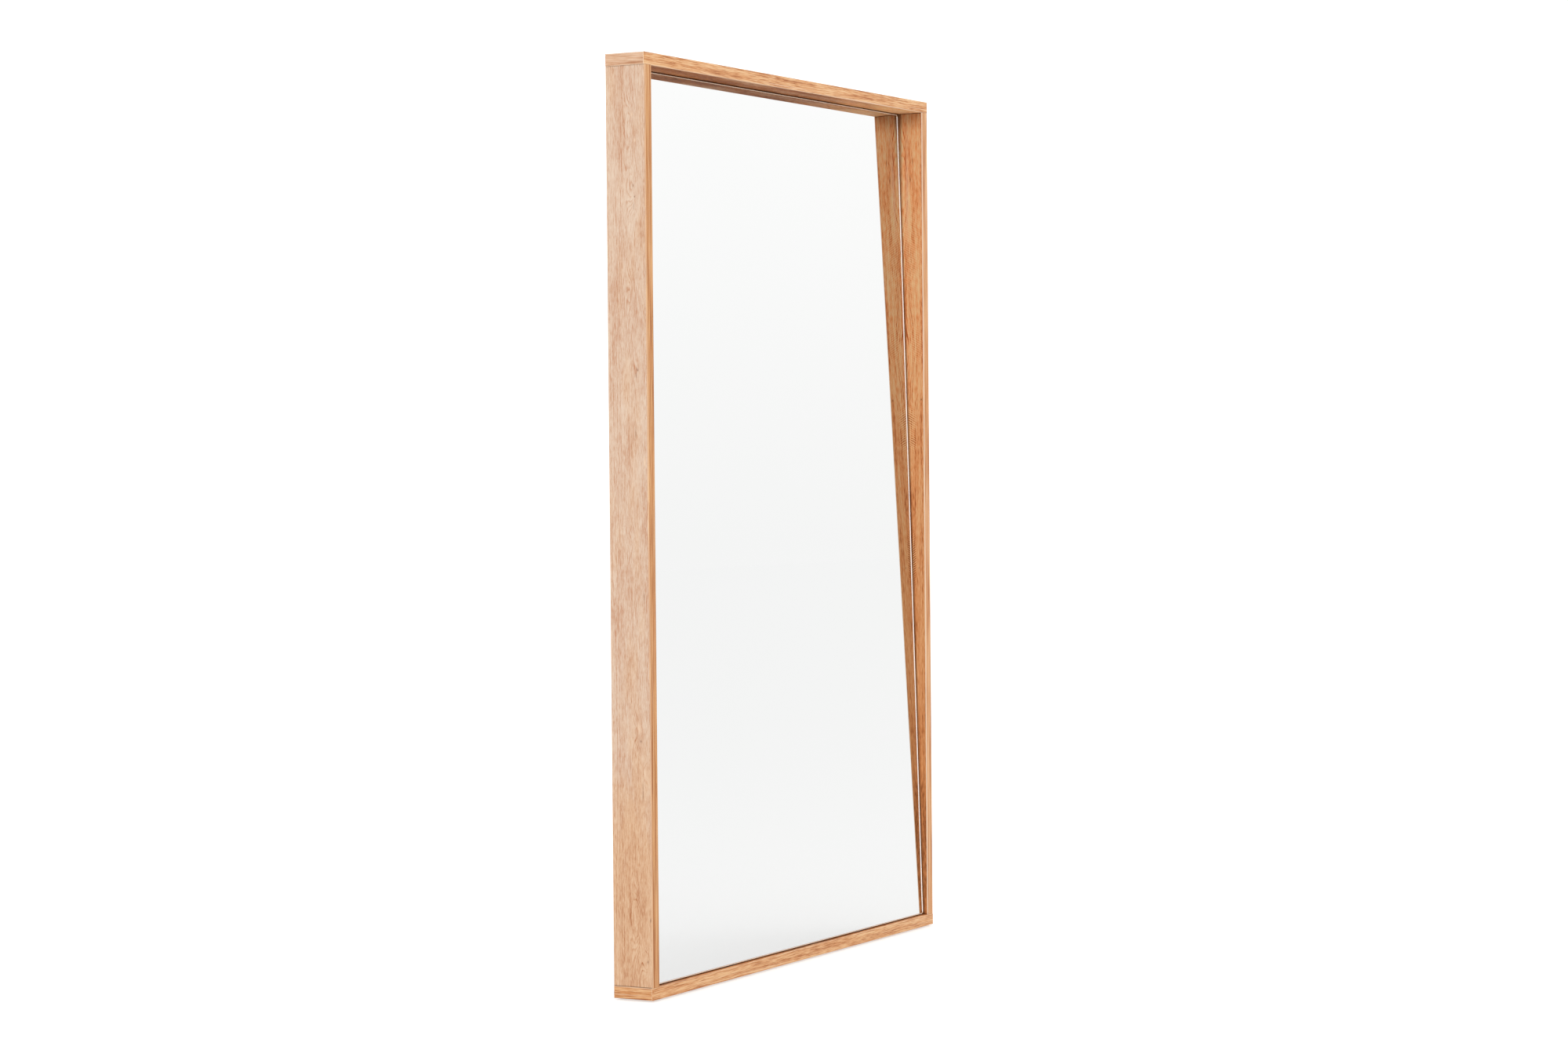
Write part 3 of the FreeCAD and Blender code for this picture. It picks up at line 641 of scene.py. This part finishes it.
# the grain of each moulding is given per metre and its relief in mm
mouldedLook = {
    "cloudsPerMetre": 40, "cloudShare": 0.7, "fineShare": 0.3, "fineRoughness": 0.12, "bumpStrength": 0.6,
    "whiteNylon": {"tones": ((236, 236, 232), (222, 222, 216)), "roughness": 0.38, "grain": 900,
                   "relief": 0.03},
    "whiteFilm": {"tones": ((232, 234, 236), (222, 226, 230)), "roughness": 0.3, "grain": 300,
                  "relief": 0.01},
    "foamTape": {"tones": ((206, 208, 206), (182, 185, 184)), "roughness": 0.8, "grain": 2600,
                 "relief": 0.15},
    "blackPacker": {"tones": ((34, 34, 36), (46, 46, 48)), "roughness": 0.5, "grain": 900, "relief": 0.03},
}


def mouldedFinish(name):
    look = mouldedLook
    own = look[name]
    base, other = own["tones"]
    finish = Finish(name)
    fine = finish.even(own["grain"], grainy)
    cloud = finish.even(look["cloudsPerMetre"])
    share = finish.plus(finish.times(cloud, look["cloudShare"]), finish.times(fine, look["fineShare"]))
    finish.bump(fine, own["relief"] * mm, look["bumpStrength"])
    return finish.set(Base_Color=finish.mix(share, tone(*base), tone(*other)),
                      Roughness=finish.plus(own["roughness"], finish.times(fine, look["fineRoughness"])))


beech, fibreboard = beechFinish(), fibreboardFinish()
zinc, yellowZinc = metalFinish("zincPlated"), metalFinish("yellowZinc")
nylon, film = mouldedFinish("whiteNylon"), mouldedFinish("whiteFilm")
foam, packer = mouldedFinish("foamTape"), mouldedFinish("blackPacker")
print("plain finishes made")


# the mirror pane, built on the plane of its CAD slab

# lengths in mm; the second tone of each finish is the one its slow noise drifts to
paneLook = {
    "corner": 4.0, "arris": 0.7, "sideRim": 4.6, "endRim": 1.8, "darkLine": 0.5, "cornerPoints": 8,
    "silver": ((223, 223, 223), (222, 223, 222)), "hazeTo": (3, 3, 4), "hazeAt": (0.4, 0.9), "haze": 0.012,
    # the darker tone of the pane's top and bottom ground edges is painted shade
    "ground": ((253, 247, 240), (214, 204, 194)), "shadedEnd": ((240, 214, 190), (214, 204, 194)),
    # the ground edge's painted glow stands in for light carried through the glass to it
    "grindTo": (900, 900, 60), "grindShare": 0.3, "paintedGlow": 0.22, "paintedGlowTone": (1.0, 0.96, 0.92, 1.0),
    # the silver's sealed edge, painted dark brown as a painted shade line where the pane meets the frame
    "sealShade": ((104, 78, 58), (128, 100, 78)), "sealTo": (300, 300, 120),
    "paint": ((120, 124, 128), (108, 112, 118)), "paintClouds": 12, "paintGrain": 700, "relief": 0.02,
    "bumpStrength": 0.4, "groundRoughness": (0.35, 0.2), "sealRoughness": 0.3, "paintRoughness": (0.4, 0.15),
}
# which material each part of the pane takes
paneParts = {"silver": 0, "ground": 1, "sealShade": 2, "paint": 3, "shadedEnd": 4}


def roundedLoop(mesh, halfWide, halfHigh, radius, depth, points):
    made = []
    for turn, (signX, signY) in enumerate(((1, 1), (-1, 1), (-1, -1), (1, -1))):
        for index in range(points + 1):
            angle = math.radians(90 * (turn + index / points))
            made.append(mesh.verts.new((signX * (halfWide - radius) + radius * math.cos(angle),
                                        signY * (halfHigh - radius) + radius * math.sin(angle), depth)))
    return made


def joinLoops(mesh, first, second, part, endFrom):
    count = len(first)
    for index in range(count):
        after = (index + 1) % count
        face = mesh.faces.new((first[index], first[after], second[after], second[index]))
        # the pane's top and bottom edges are ground but get no light through the glass
        level = abs(face.calc_center_median().y) > endFrom
        face.material_index = paneParts["shadedEnd" if part == "ground" and level else part]


def newPiece(name, mesh, body, materials):
    data = bpy.data.meshes.new(name)
    mesh.to_mesh(data)
    mesh.free()
    piece = bpy.data.objects.new(name, data)
    shownIn.objects.link(piece)
    for material in materials:
        data.materials.append(material)
    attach(piece, body)
    return piece


def mirrorPane():
    turn, low, high = paneTurn, paneLow, paneHigh
    wide, tall, front = (high - low) / 2
    back = -front
    corner, arris, sideRim, endRim, dark = (
        paneLook[key] * mm for key in ("corner", "arris", "sideRim", "endRim", "darkLine"))
    points = paneLook["cornerPoints"]
    mesh = bmesh.new()
    steps = (
        (0.0, 0.0, corner, front - arris), (arris, arris, corner - arris, front),
        (sideRim, endRim, corner - arris * 2, front),
        (sideRim + dark, endRim + dark, corner - arris * 3, front),
    )
    loops = [roundedLoop(mesh, wide - inX, tall - inY, radius, depth, points)
             for inX, inY, radius, depth in steps]
    side = roundedLoop(mesh, wide, tall, corner, back + arris, points)
    behind = roundedLoop(mesh, wide - arris, tall - arris, corner - arris, back, points)
    for first, second, part in ((loops[0], loops[1], "ground"), (loops[1], loops[2], "ground"),
                                (loops[2], loops[3], "sealShade"), (side, loops[0], "ground"),
                                (behind, side, "ground")):
        joinLoops(mesh, first, second, part, tall - corner)
    mesh.faces.new(loops[3]).material_index = paneParts["silver"]
    mesh.faces.new(list(reversed(behind))).material_index = paneParts["paint"]
    centre = turn @ ((low + high) / 2)
    mesh.transform(Matrix.Translation(centre) @ turn.to_4x4())
    bmesh.ops.recalc_face_normals(mesh, faces=mesh.faces)
    return newPiece("mirrorPane", mesh, "frame", [
        silvered(), groundGlass("groundGlassEdge", "ground", paneLook["paintedGlow"]), sealedEdgeShade(), backPaint(),
        groundGlass("groundGlassEnd", "shadedEnd", 0.0),
    ])


def paneTones(finish, share, part):
    first, second = paneLook[part]
    return finish.mix(share, tone(*first), tone(*second))


def silvered():
    finish = Finish("silveredFace")
    haze = finish.noise(finish.scaled(finish.place, paneLook["hazeTo"]), busy)
    return finish.set(Base_Color=paneTones(finish, haze, "silver"), Metallic=1.0,
                      Roughness=finish.step(haze, *paneLook["hazeAt"], 0.0, paneLook["haze"]))


def groundGlass(name, part, paintedGlow):
    finish = Finish(name)
    grind = finish.noise(finish.scaled(finish.place, paneLook["grindTo"]), grainy)
    seen = paneTones(finish, finish.times(grind, paneLook["grindShare"]), part)
    finish.bump(grind, paneLook["relief"] * mm, paneLook["bumpStrength"])
    # a painted glow on the ground edge, standing in for light carried through the glass
    finish.surface.inputs["Emission Color"].default_value = paneLook["paintedGlowTone"]
    finish.surface.inputs["Emission Strength"].default_value = paintedGlow
    least, more = paneLook["groundRoughness"]
    return finish.set(Base_Color=seen, Roughness=finish.plus(least, finish.times(grind, more)))


def sealedEdgeShade():
    finish = Finish("silverEdgeSealShade")
    cloud = finish.noise(finish.scaled(finish.place, paneLook["sealTo"]), grainy)
    finish.surface.inputs["Coat Weight"].default_value = 1.0
    # the silver's sealed edge, with painted shade of the frame's recess in its dark brown
    return finish.set(Base_Color=paneTones(finish, cloud, "sealShade"), Roughness=paneLook["sealRoughness"])


def backPaint():
    finish = Finish("mirrorBackPaint")
    cloud = finish.even(paneLook["paintClouds"], grainy)
    fine = finish.even(paneLook["paintGrain"], grainy)
    finish.bump(fine, paneLook["relief"] * mm, paneLook["bumpStrength"])
    least, more = paneLook["paintRoughness"]
    return finish.set(Base_Color=paneTones(finish, cloud, "paint"),
                      Roughness=finish.plus(least, finish.times(fine, more)))


pane = mirrorPane()
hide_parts("mirror_glass")
print("mirror pane made")


# screws and dowels, set out by Geometry Nodes on the CAD solids' own axes

samePoint = 1e-7  # corners nearer than this, in metres, are one corner of the same solid


def islandsOf(node):
    # the separate solids of a node, each as a list of points
    mesh = bmesh.new()
    mesh.from_mesh(nodes[node].data)
    bmesh.ops.remove_doubles(mesh, verts=mesh.verts, dist=samePoint)
    found, seen = [], set()
    for start in mesh.verts:
        if start in seen:
            continue
        group, waiting = [], [start]
        seen.add(start)
        while waiting:
            vert = waiting.pop()
            group.append(vert.co.copy())
            for edge in vert.link_edges:
                other = edge.other_vert(vert)
                if other not in seen:
                    seen.add(other)
                    waiting.append(other)
        found.append(group)
    mesh.free()
    return found


endShare = 0.15  # how much of a fixing's length is looked at to tell its head from its point


def axisOf(points, directions):
    # the direction along which a solid looks round, where its head is, its length and its radius
    centre = sum(points, Vector()) / len(points)
    best = None
    for direction in directions:
        along = [(point - centre).dot(direction) for point in points]
        away = [(point - centre - direction * part).length for point, part in zip(points, along)]
        if best is None or max(away) < best[0]:
            best = (max(away), direction, along, away)
    radius, direction, along, away = best
    top, bottom = max(along), min(along)
    length = top - bottom
    atTop = sum(width for width, part in zip(away, along) if part > top - endShare * length)
    atBottom = sum(width for width, part in zip(away, along) if part < bottom + endShare * length)
    if atTop >= atBottom:
        return centre + direction * top, direction, length, radius
    return centre + direction * bottom, -direction, length, radius


class Tree:
    # one Geometry Nodes tree and short ways to add to it

    def __init__(self, name, inputs):
        self.group = bpy.data.node_groups.new(name, "GeometryNodeTree")
        face = self.group.interface
        face.new_socket("Geometry", in_out="INPUT", socket_type="NodeSocketGeometry")
        face.new_socket("Geometry", in_out="OUTPUT", socket_type="NodeSocketGeometry")
        for key, kind in inputs.items():
            face.new_socket(key, in_out="INPUT", socket_type="NodeSocket" + kind)
        self.given = self.group.nodes.new("NodeGroupInput").outputs
        self.result = self.group.nodes.new("NodeGroupOutput").inputs[0]

    def add(self, kind, inputs=None, **settings):
        made = self.group.nodes.new(kind)
        for key, value in settings.items():
            setattr(made, key, value)
        for key, value in (inputs or {}).items():
            if isinstance(value, bpy.types.NodeSocket):
                self.group.links.new(value, made.inputs[key])
            else:
                made.inputs[key].default_value = value
        return made

    def calc(self, operation, first, second=0.0):
        return self.add("ShaderNodeMath", {0: first, 1: second}, operation=operation).outputs[0]

    def times(self, first, second):
        return self.calc("MULTIPLY", first, second)

    def point(self, x=0.0, y=0.0, z=0.0):
        return self.add("ShaderNodeCombineXYZ", {0: x, 1: y, 2: z}).outputs[0]

    def down(self, length, share=1.0):
        return self.point(z=self.times(length, -share))

    def moved(self, geometry, **change):
        return self.add("GeometryNodeTransform", {"Geometry": geometry, **change}).outputs[0]

    def joined(self, *parts):
        made = self.add("GeometryNodeJoinGeometry")
        for part in reversed(parts):
            self.group.links.new(part, made.inputs[0])
        return made.outputs[0]

    def cylinder(self, radius, depth, sides):
        made = self.add("GeometryNodeMeshCylinder", {"Radius": radius, "Depth": depth, "Vertices": sides})
        return made.outputs["Mesh"]

    def cone(self, top, bottom, depth, sides):
        made = self.add("GeometryNodeMeshCone", {
            "Radius Top": top, "Radius Bottom": bottom, "Depth": depth, "Vertices": sides,
        })
        return made.outputs["Mesh"]

    def placeOnPoints(self, shape, seed, material):
        # one shape on each point, its Z along the point's axis and turned at random about it
        points = self.add("GeometryNodeMeshToPoints", {"Mesh": self.given["Geometry"]}).outputs[0]
        axis = self.add("GeometryNodeInputNamedAttribute", {"Name": "axis"}, data_type="FLOAT_VECTOR")
        aim = self.add("FunctionNodeAlignRotationToVector", {"Vector": axis.outputs[0]}, axis="Z")
        random = self.add("FunctionNodeRandomValue", {"Seed": seed}, data_type="FLOAT")
        angle = self.times(random.outputs[1], math.pi)
        spin = self.add("FunctionNodeAxisAngleToRotation", {"Axis": (0, 0, 1), "Angle": angle})
        turned = self.add("FunctionNodeRotateRotation", {
            "Rotation": aim.outputs[0], "Rotate By": spin.outputs[0],
        }, rotation_space="LOCAL")
        placed = self.add("GeometryNodeInstanceOnPoints", {
            "Points": points, "Instance": shape, "Rotation": turned.outputs[0],
        })
        real = self.add("GeometryNodeRealizeInstances", {"Geometry": placed.outputs[0]})
        painted = self.add("GeometryNodeSetMaterial", {"Geometry": real.outputs[0], "Material": material})
        self.group.links.new(painted.outputs[0], self.result)


fixingInputs = {"Length": "Float", "Head width": "Float", "Shank width": "Float", "Pitch": "Float",
                "Seed": "Int", "Finish": "Material"}

# core, pointed tip and head rim as shares of the shank's and the head's width, and the cross recess
screwShares = {
    "core": 0.34, "tip": 1.1, "rim": 0.05, "bladeWide": 0.56, "bladeDeep": 0.5, "bladeThin": 0.12,
    "bladeTop": 0.72, "bladeFoot": 0.2, "bladeSunk": 0.75,
}
screwFineness = {"head": 32, "core": 16, "turn": 14, "ridge": 4}


def screwTree():
    # countersunk wood screw, its head's top at the origin and its point down -Z
    tree = Tree("countersunkScrew", fixingInputs)
    given, share, fine = tree.given, screwShares, screwFineness
    headRadius = tree.times(given["Head width"], 0.5)
    coreRadius = tree.times(given["Shank width"], share["core"])
    rim = tree.times(given["Head width"], share["rim"])
    taper = tree.calc("SUBTRACT", headRadius, coreRadius)
    headHeight = tree.calc("ADD", rim, taper)
    cone = tree.moved(tree.cone(headRadius, coreRadius, taper, fine["head"]),
                      Translation=tree.down(headHeight))
    flat = tree.moved(tree.cylinder(headRadius, rim, fine["head"]), Translation=tree.down(rim, 0.5))
    # cross recess, two tapered blades cut from the head
    wide = tree.times(given["Head width"], share["bladeWide"])
    deep = tree.times(given["Head width"], share["bladeDeep"])
    thin = tree.times(given["Head width"], share["bladeThin"])
    blade = tree.cone(tree.times(wide, share["bladeTop"]), tree.times(wide, share["bladeFoot"]), deep, 4)
    blade = tree.moved(blade, Rotation=(0.0, 0.0, math.radians(45)))
    first = tree.moved(blade, Scale=tree.point(1.0, tree.calc("DIVIDE", thin, wide), 1.0))
    second = tree.moved(first, Rotation=(0.0, 0.0, math.radians(90)))
    sunk = tree.down(deep, share["bladeSunk"])
    whole = tree.add("GeometryNodeMeshBoolean", operation="UNION", solver="EXACT")
    for part in (cone, flat):
        tree.group.links.new(part, whole.inputs["Mesh 2"])
    head = tree.add("GeometryNodeMeshBoolean", {"Mesh 1": whole.outputs[0]}, operation="DIFFERENCE",
                    solver="EXACT")
    for part in (first, second):
        tree.group.links.new(tree.moved(part, Translation=sunk), head.inputs["Mesh 2"])
    # core with a point, and the thread wound on it
    tipLong = tree.times(given["Shank width"], share["tip"])
    coreLong = tree.calc("SUBTRACT", tree.calc("SUBTRACT", given["Length"], headHeight), tipLong)
    middle = tree.calc("ADD", headHeight, tree.times(coreLong, 0.5))
    core = tree.moved(tree.cylinder(coreRadius, coreLong, fine["core"]), Translation=tree.down(middle))
    tip = tree.moved(tree.cone(coreRadius, 0.0, tipLong, fine["core"]),
                     Translation=tree.down(given["Length"]))
    coil = tree.add("GeometryNodeCurveSpiral", {
        "Resolution": fine["turn"], "Rotations": tree.calc("DIVIDE", coreLong, given["Pitch"]),
        "Start Radius": coreRadius, "End Radius": coreRadius, "Height": coreLong,
    })
    ridge = tree.calc("SUBTRACT", tree.times(given["Shank width"], 0.5), coreRadius)
    profile = tree.add("GeometryNodeCurvePrimitiveCircle", {"Resolution": fine["ridge"], "Radius": ridge})
    thread = tree.add("GeometryNodeCurveToMesh", {
        "Curve": coil.outputs[0], "Profile Curve": profile.outputs[0], "Fill Caps": True,
    })
    foot = tree.down(tree.calc("ADD", headHeight, coreLong))
    thread = tree.moved(thread.outputs[0], Translation=foot)
    tree.placeOnPoints(tree.joined(head.outputs[0], core, tip, thread), given["Seed"], given["Finish"])
    return tree.group


# chamfer in mm, depths as shares of the dowel's radius
dowelShares = {"sides": 96, "rings": 12, "flutes": 24.0, "fluteDeep": 0.055, "chamfer": 0.5,
               "chamferDeep": 0.16}


def dowelTree():
    # fluted dowel with chamfered ends, its top at the origin
    tree = Tree("flutedDowel", fixingInputs)
    given, share = tree.given, dowelShares
    rod = tree.add("GeometryNodeMeshCylinder", {
        "Vertices": share["sides"], "Side Segments": share["rings"],
        "Radius": tree.times(given["Head width"], 0.5), "Depth": given["Length"],
    })
    place = tree.add("GeometryNodeInputPosition").outputs[0]
    parts = tree.add("ShaderNodeSeparateXYZ", {0: place}).outputs
    wave = tree.calc("COSINE", tree.times(tree.calc("ARCTAN2", parts[1], parts[0]), share["flutes"]))
    flute = tree.times(tree.calc("MAXIMUM", wave, 0.0), -share["fluteDeep"])
    end = tree.calc("SUBTRACT", tree.times(given["Length"], 0.5), tree.calc("ABSOLUTE", parts[2]))
    chamfer = tree.times(tree.calc("LESS_THAN", end, share["chamfer"] * mm), -share["chamferDeep"])
    slim = tree.calc("ADD", 1.0, tree.calc("ADD", flute, chamfer))
    moved = tree.add("ShaderNodeVectorMath", {0: place, 1: tree.point(slim, slim, 1.0)},
                     operation="MULTIPLY")
    rod = tree.add("GeometryNodeSetPosition", {
        "Geometry": rod.outputs["Mesh"], "Position": moved.outputs[0],
    })
    shape = tree.moved(rod.outputs[0], Translation=tree.down(given["Length"], 0.5))
    tree.placeOnPoints(shape, given["Seed"], given["Finish"])
    return tree.group


# widths and thread pitch in mm
fixingSets = {
    "bracket_screws": {"piece": "bracketScrewSet", "head": 7.0, "shank": 3.5, "pitch": 1.6, "seed": 11},
    "panel_screws": {"piece": "panelScrewSet", "head": 7.0, "shank": 3.5, "pitch": 1.6, "seed": 12},
    "side_batten_screws": {"piece": "sideBattenScrewSet", "head": 7.0, "shank": 3.5, "pitch": 1.8,
                           "seed": 13},
    "cross_batten_screws": {"piece": "crossBattenScrewSet", "head": 7.0, "shank": 3.5, "pitch": 1.8,
                            "seed": 14},
    "strap_screws": {"piece": "strapScrewSet", "head": 6.0, "shank": 3.5, "pitch": 1.6, "seed": 15},
    "corner_dowels": {"piece": "flutedDowelSet", "head": 8.0, "shank": 8.0, "pitch": 1.0, "seed": 16},
}


def setOut(node, look, group, material):
    directions = [Vector((1, 0, 0)), Vector((0, 1, 0)), Vector((0, 0, 1)), paneOut.copy()]
    found = [axisOf(points, directions) for points in islandsOf(node)]
    data = bpy.data.meshes.new(look["piece"] + "Points")
    data.from_pydata([head for head, axis, length, radius in found], [], [])
    attribute = data.attributes.new("axis", "FLOAT_VECTOR", "POINT")
    attribute.data.foreach_set("vector", [part for head, axis, length, radius in found for part in axis])
    holder = bpy.data.objects.new(look["piece"] + "Points", data)
    shownIn.objects.link(holder)
    modifier = holder.modifiers.new("fixings", "NODES")
    modifier.node_group = group
    values = {
        "Length": max(length for head, axis, length, radius in found), "Head width": look["head"] * mm,
        "Shank width": look["shank"] * mm, "Pitch": look["pitch"] * mm, "Seed": look["seed"],
        "Finish": material,
    }
    for item in group.interface.items_tree:
        if item.item_type == "SOCKET" and item.in_out == "INPUT" and item.name in values:
            modifier[item.identifier] = values[item.name]
    bpy.context.view_layer.update()
    ready = holder.evaluated_get(bpy.context.evaluated_depsgraph_get())
    mesh = bpy.data.meshes.new_from_object(ready)
    mesh.name = look["piece"]
    holder.modifiers.clear()
    bpy.data.objects.remove(holder)
    piece = bpy.data.objects.new(look["piece"], mesh)
    shownIn.objects.link(piece)
    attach(piece, "frame")
    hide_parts(node)
    print(look["piece"], len(found), "pieces, length", round(values["Length"] / mm, 2), "mm")


screwShape, dowelShape = screwTree(), dowelTree()
for node, look in fixingSets.items():
    if node == "corner_dowels":
        setOut(node, look, dowelShape, beech)
    else:
        setOut(node, look, screwShape, yellowZinc)


# pieces whose edges are eased: a merged copy of the CAD mesh, bevelled

# bevel widths and the merging distance in mm, then the angles in degrees below which faces are joined
# and above which edges are eased
easedLook = {"batten": 0.8, "bracket": 0.25, "strap": 0.2, "glide": 0.5, "flatWithin": 0.5, "sharpFrom": 50,
             "mergeWithin": 0.001}


def eased(node, piece, width, material, steps=2):
    mesh = bmesh.new()
    mesh.from_mesh(nodes[node].data)
    bmesh.ops.remove_doubles(mesh, verts=mesh.verts, dist=easedLook["mergeWithin"] * mm)
    bmesh.ops.dissolve_limit(mesh, angle_limit=math.radians(easedLook["flatWithin"]), verts=mesh.verts,
                             edges=mesh.edges)
    copy = newPiece(piece, mesh, "frame", [material])
    for face in copy.data.polygons:
        face.use_smooth = True
        face.material_index = 0
    sharpFrom = math.radians(easedLook["sharpFrom"])
    bevel = copy.modifiers.new("easedEdges", "BEVEL")
    bevel.width = width * mm
    bevel.segments = steps
    bevel.limit_method = "ANGLE"
    bevel.angle_limit = sharpFrom
    bevel.harden_normals = True
    copy.data.set_sharp_from_angle(angle=sharpFrom)
    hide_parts(node)


def easedBatten(side, along):
    node = f"{side}_batten"
    eased(node, f"{side}BattenEased", easedLook["batten"], pineFinish(node, along))


for side in ("left", "right"):
    easedBatten(side, "z")
    eased(f"{side}_tether_strap", f"{side}StrapEased", easedLook["strap"], zinc)
    for end in ("top", "bottom"):
        eased(f"{end}_{side}_bracket", f"{end}{side.title()}BracketEased", easedLook["bracket"], zinc)
for end in ("top", "bottom"):
    easedBatten(end, "x")
eased("floor_glides", "floorGlideSet", easedLook["glide"], nylon, 3)
print("eased pieces made")


# CAD nodes that keep their shape and only take a finish

plain = {
    "safety_film": film, "mirror_tapes": foam, "setting_blocks": packer, "backing_panel": fibreboard,
    "glide_nails": zinc, "left_tether_ring": zinc, "right_tether_ring": zinc,
    **boardFinish, **bandFinish,
}
for node, finish in plain.items():
    data = nodes[node].data
    if not data.materials:
        data.materials.append(finish)
    for index in range(len(data.materials)):
        data.materials[index] = finish
print("finishes on", len(plain), "CAD nodes")


# floor, light and camera

# lengths in metres, the lens and its sensor in mm, angles in degrees
stageLook = {
    "floor": 90.0, "floorTone": 0.55, "floorCloud": 0.995, "cloudsPerMetre": 2, "floorGlow": 0.491,
    "floorRoughness": 0.9, "sky": 1.322, "horizon": 1.2227, "skyRise": 0.16,
    "lamps": 11.7, "lampSize": 2.4, "keyLight": (-2.6, -2.4, 3.2), "backLight": (1.8, 3.0, 3.0),
    "lampsAimAt": (0, 0, 0.8), "camera": (-5.7634, -3.1947, 0.9683), "azimuth": 61.05, "dip": 1.263,
    "roll": 0.481, "lens": 80.58, "sensor": 36.0,
}


def buildFloor():
    mesh = bmesh.new()
    bmesh.ops.create_grid(mesh, x_segments=8, y_segments=8, size=stageLook["floor"])
    data = bpy.data.meshes.new("floor")
    mesh.to_mesh(data)
    mesh.free()
    floor = bpy.data.objects.new("floor", data)
    shownIn.objects.link(floor)
    finish = Finish("paleFloor")
    pale = stageLook["floorTone"]
    dull = pale * stageLook["floorCloud"]
    cloud = finish.even(stageLook["cloudsPerMetre"])
    seen = finish.mix(cloud, (pale, pale, pale, 1), (dull, dull, dull, 1))
    # a lit floor, as in a white studio, so only the closest shadow is left
    finish.surface.inputs["Emission Color"].default_value = (1.0, 1.0, 1.0, 1.0)
    finish.surface.inputs["Emission Strength"].default_value = stageLook["floorGlow"]
    data.materials.append(finish.set(Base_Color=seen, Roughness=stageLook["floorRoughness"],
                                     Specular_IOR_Level=0.0))


def buildLight():
    world = bpy.data.worlds.new("studio")
    world.use_nodes = True
    sky = world.node_tree.nodes["Background"]
    sky.inputs["Color"].default_value = (1, 1, 1, 1)
    # the sky meets the floor's brightness at the horizon and is a little brighter above
    height = world.node_tree.nodes.new("ShaderNodeSeparateXYZ")
    heading = world.node_tree.nodes.new("ShaderNodeTexCoord")
    level = world.node_tree.nodes.new("ShaderNodeMapRange")
    world.node_tree.links.new(heading.outputs["Generated"], height.inputs[0])
    world.node_tree.links.new(height.outputs["Z"], level.inputs["Value"])
    world.node_tree.links.new(level.outputs["Result"], sky.inputs["Strength"])
    for key, value in (("From Min", 0.0), ("From Max", stageLook["skyRise"]),
                       ("To Min", stageLook["horizon"]), ("To Max", stageLook["sky"])):
        level.inputs[key].default_value = value
    bpy.context.scene.world = world
    for name in ("keyLight", "backLight"):
        lamp = bpy.data.lights.new(name, "AREA")
        lamp.energy = stageLook["lamps"]
        lamp.size = stageLook["lampSize"]
        stand = bpy.data.objects.new(name, lamp)
        stand.location = stageLook[name]
        aim = Vector(stageLook["lampsAimAt"]) - Vector(stageLook[name])
        stand.rotation_euler = aim.to_track_quat("-Z", "Y").to_euler()
        shownIn.objects.link(stand)


def buildCamera():
    lens = bpy.data.cameras.new("camera")
    lens.lens = stageLook["lens"]
    lens.sensor_width = stageLook["sensor"]
    lens.clip_end = 2 * stageLook["floor"]
    camera = bpy.data.objects.new("camera", lens)
    shownIn.objects.link(camera)
    aim = (Matrix.Rotation(math.radians(-stageLook["azimuth"]), 4, "Z")
           @ Matrix.Rotation(math.radians(90 - stageLook["dip"]), 4, "X")
           @ Matrix.Rotation(math.radians(-stageLook["roll"]), 4, "Z"))
    camera.matrix_world = Matrix.Translation(Vector(stageLook["camera"])) @ aim
    bpy.context.scene.camera = camera


buildFloor()
buildLight()
buildCamera()
bpy.context.scene.view_settings.view_transform = "Standard"
print("stage ready")
